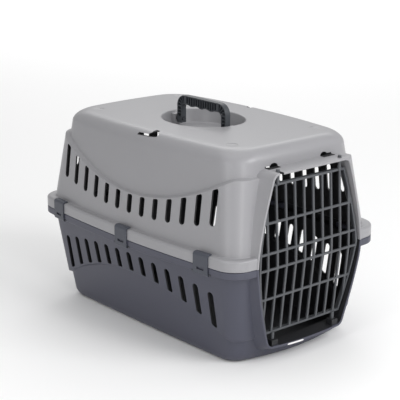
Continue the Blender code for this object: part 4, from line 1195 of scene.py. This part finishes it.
def lattice():
    """The door's flat lattice, filled between its outline and its windows, thickened and bent."""
    bm = bmesh.new()
    for outline in [door_frame(0)] + door_windows():
        corners = [bm.verts.new((x, 0, z)) for x, z in outline]
        for a, b in zip(corners, corners[1:] + corners[:1]):
            bm.edges.new((a, b))
    bmesh.ops.triangle_fill(bm, edges=bm.edges[:], use_beauty=True, use_dissolve=False, normal=(0, -1, 0))
    front = bm.faces[:]
    extruded = bmesh.ops.extrude_face_region(bm, geom=front)["geom"]
    back = {item for item in extruded if isinstance(item, bmesh.types.BMVert)}
    for corner in bm.verts:
        corner.co.y = door_front_y(corner.co.z) + (DOOR_THICKNESS if corner in back else 0)
    bm.verts.index_update()
    points = [tuple(corner.co) for corner in bm.verts]
    faces = [[corner.index for corner in face.verts] for face in bm.faces]
    bm.free()
    return points, faces


def door_frame_ring():
    outer = door_frame(DOOR_FRAME_SHY)
    inner = door_frame(BAR_WIDTH - DOOR_FRAME_SHY)
    rings = []
    for (x, z), (inner_x, inner_z) in zip(outer, inner):
        front = door_front_y(z) + DOOR_FRAME_SHY
        back = door_front_y(z) + DOOR_FRAME_DEPTH
        rings.append([(x, front, z), (inner_x, front, inner_z), (inner_x, back, inner_z), (x, back, z)])
    points, faces = bridge(rings, closed_ends=False)
    last = len(points) - 4
    faces += [[last + k, last + (k + 1) % 4, (k + 1) % 4, k] for k in range(4)]
    return points, faces


def make_door(material):
    door = solid("door_moulding", lattice(), (material,))
    carve(door, "UNION", door_frame_ring())
    pins = []
    for x, low_z in ((DOOR_PIN_X, DOOR_PIN_BOTTOM_Z), (-DOOR_PIN_X, PIN_BLOCK_TOP_Z + GAP)):
        outline = circle((x, 0), DOOR_PIN_RADIUS)
        pins += [prism(outline, "Z", CROSSBAR_HEIGHTS[-1], DOOR_PIN_TOP_Z),
                 prism(outline, "Z", low_z, CROSSBAR_HEIGHTS[0])]
    carve(door, "UNION", leaned(merged(pins)))
    soften(door, width=0.45 * MM)
    stand_for(door, "door", "door", "door_grille")


# Plate on the sill


def make_label_plate(material):
    """A blank plate with round ends that follows the sill's lip."""
    half = LABEL_LENGTH / 2
    z = OPENING_BOTTOM_Z - LIP_WIDTH + LABEL_RISE
    rings = []
    for k in range(LABEL_STEPS + 1):
        along = -1 + 2 * k / LABEL_STEPS
        x = LABEL_X + half * along
        back = lip_y(x, z) - 2 * GAP + LABEL_SINK
        end = min(1, (1 - abs(along)) * LABEL_STEPS / 3 + 0.35)
        middle, tall = z + LABEL_HEIGHT / 2, LABEL_HEIGHT / 2 * end
        front = back - LABEL_THICKNESS * 0.9
        rings.append([(x, front, middle - tall), (x, back, middle - tall), (x, back, middle + tall),
                      (x, front, middle + tall)])
    plate = solid("label_plate_moulding", bridge(rings), (material,))
    soften(plate, width=0.12 * MM)
    stand_for(plate, "carrier", "label", "label_plate")


# Surroundings


def make_floor():
    """A flat, pale floor."""
    material = bpy.data.materials.new("studio_white")
    material.use_nodes = True
    shader = material.node_tree.nodes["Principled BSDF"]
    shader.inputs["Base Color"].default_value = (0.95, 0.95, 0.95, 1)
    shader.inputs["Roughness"].default_value = 0.9
    shader.inputs["Specular IOR Level"].default_value = 0.1
    corners = [(across * FLOOR_HALF, along * FLOOR_HALF, 0)
               for across, along in ((-1, -1), (1, -1), (1, 1), (-1, 1))]
    floor = solid("studio_floor", (corners, [(0, 1, 2, 3)]), (material,))


def soft_light(name, turn, reach, height, size, watts, aim=LIGHT_AIM):
    """A rectangular light at a turn in degrees round the carrier, 0 in front of it, facing its aim."""
    lamp = bpy.data.lights.new(name, "AREA")
    lamp.shape = "RECTANGLE"
    lamp.size, lamp.size_y = size
    lamp.energy = watts
    thing = bpy.data.objects.new(name, lamp)
    place = Vector((reach * sin(radians(turn)), -reach * cos(radians(turn)), height))
    thing.location = place
    thing.rotation_euler = (aim - place).to_track_quat("-Z", "Y").to_euler()
    thing.visible_camera = False
    bpy.context.scene.collection.objects.link(thing)


def make_studio():
    world = bpy.data.worlds.new("studio")
    bpy.context.scene.world = world
    world.use_nodes = True
    backdrop = world.node_tree.nodes["Background"]
    backdrop.inputs["Color"].default_value = (1, 1, 1, 1)
    backdrop.inputs["Strength"].default_value = WORLD_STRENGTH
    for name, place in LIGHTS.items():
        soft_light(name, *place)
    bpy.context.scene.view_settings.view_transform = "Standard"


def make_camera():
    """Looks from the front left at a low height, with the middle of the carrier near the centre."""
    turn, rise = radians(-40.592), radians(16.2064)
    distance, lens = 1.9224, 112.37
    aim_z, aim_left, aim_up = 0.17708, 0.00485, 0.00159
    back = Vector((sin(turn) * cos(rise), -cos(turn) * cos(rise), sin(rise)))
    right = Vector((cos(turn), sin(turn), 0))
    up = back.cross(right)
    camera = bpy.data.cameras.new("camera")
    camera.sensor_width = 36.0
    camera.lens = lens
    thing = bpy.data.objects.new("camera", camera)
    aim = Vector((0, 0, aim_z)) - right * aim_left + up * aim_up
    pose = Matrix((right, up, back)).transposed().to_4x4()
    thing.matrix_world = Matrix.Translation(aim + back * distance) @ pose
    bpy.context.scene.collection.objects.link(thing)
    bpy.context.scene.camera = thing


# The carrier


def main():
    light_grey = plastic("light_grey_plastic", (0.29, 0.288, 0.302), 0.34)
    # painted shade: near-black finishes for the shells' insides and cut faces, darker than the plastic of
    # their outsides
    light_grey_painted_shade = plastic("upper_painted_shade_plastic", (0.03, 0.03, 0.032), 0.6, wear=0.0)
    slate = plastic("slate_plastic", (0.058, 0.06, 0.085), 0.42)
    slate_painted_shade = plastic("lower_painted_shade_plastic", (0.012, 0.0125, 0.015), 0.6, wear=0.0)
    door_plastic = plastic("door_plastic", (0.066, 0.07, 0.078), 0.42)
    charcoal = plastic("handle_plastic", (0.045, 0.05, 0.058), 0.45, grain=0.45)
    pin_plastic = plastic("pin_plastic", (0.03, 0.032, 0.038), 0.4)
    clip_plastic = plastic("clip_plastic", (0.05, 0.055, 0.072), 0.42)
    white = plastic("label_plastic", (0.8, 0.8, 0.8), 0.35, wear=0.0)

    upper_shell = make_upper_shell(light_grey, light_grey_painted_shade)
    lower_shell = make_lower_shell(slate, slate_painted_shade)
    make_handle(upper_shell, charcoal, pin_plastic)
    round_edges(upper_shell, 0.4 * MM, angle=50)
    make_clips(lower_shell, clip_plastic, pin_plastic)
    for shell, name in ((upper_shell, "upper_shell"), (lower_shell, "lower_shell")):
        shade(shell)
        stand_for(shell, "carrier", name, name)
    make_door(door_plastic)
    make_label_plate(white)
    make_floor()
    make_studio()
    make_camera()


main()
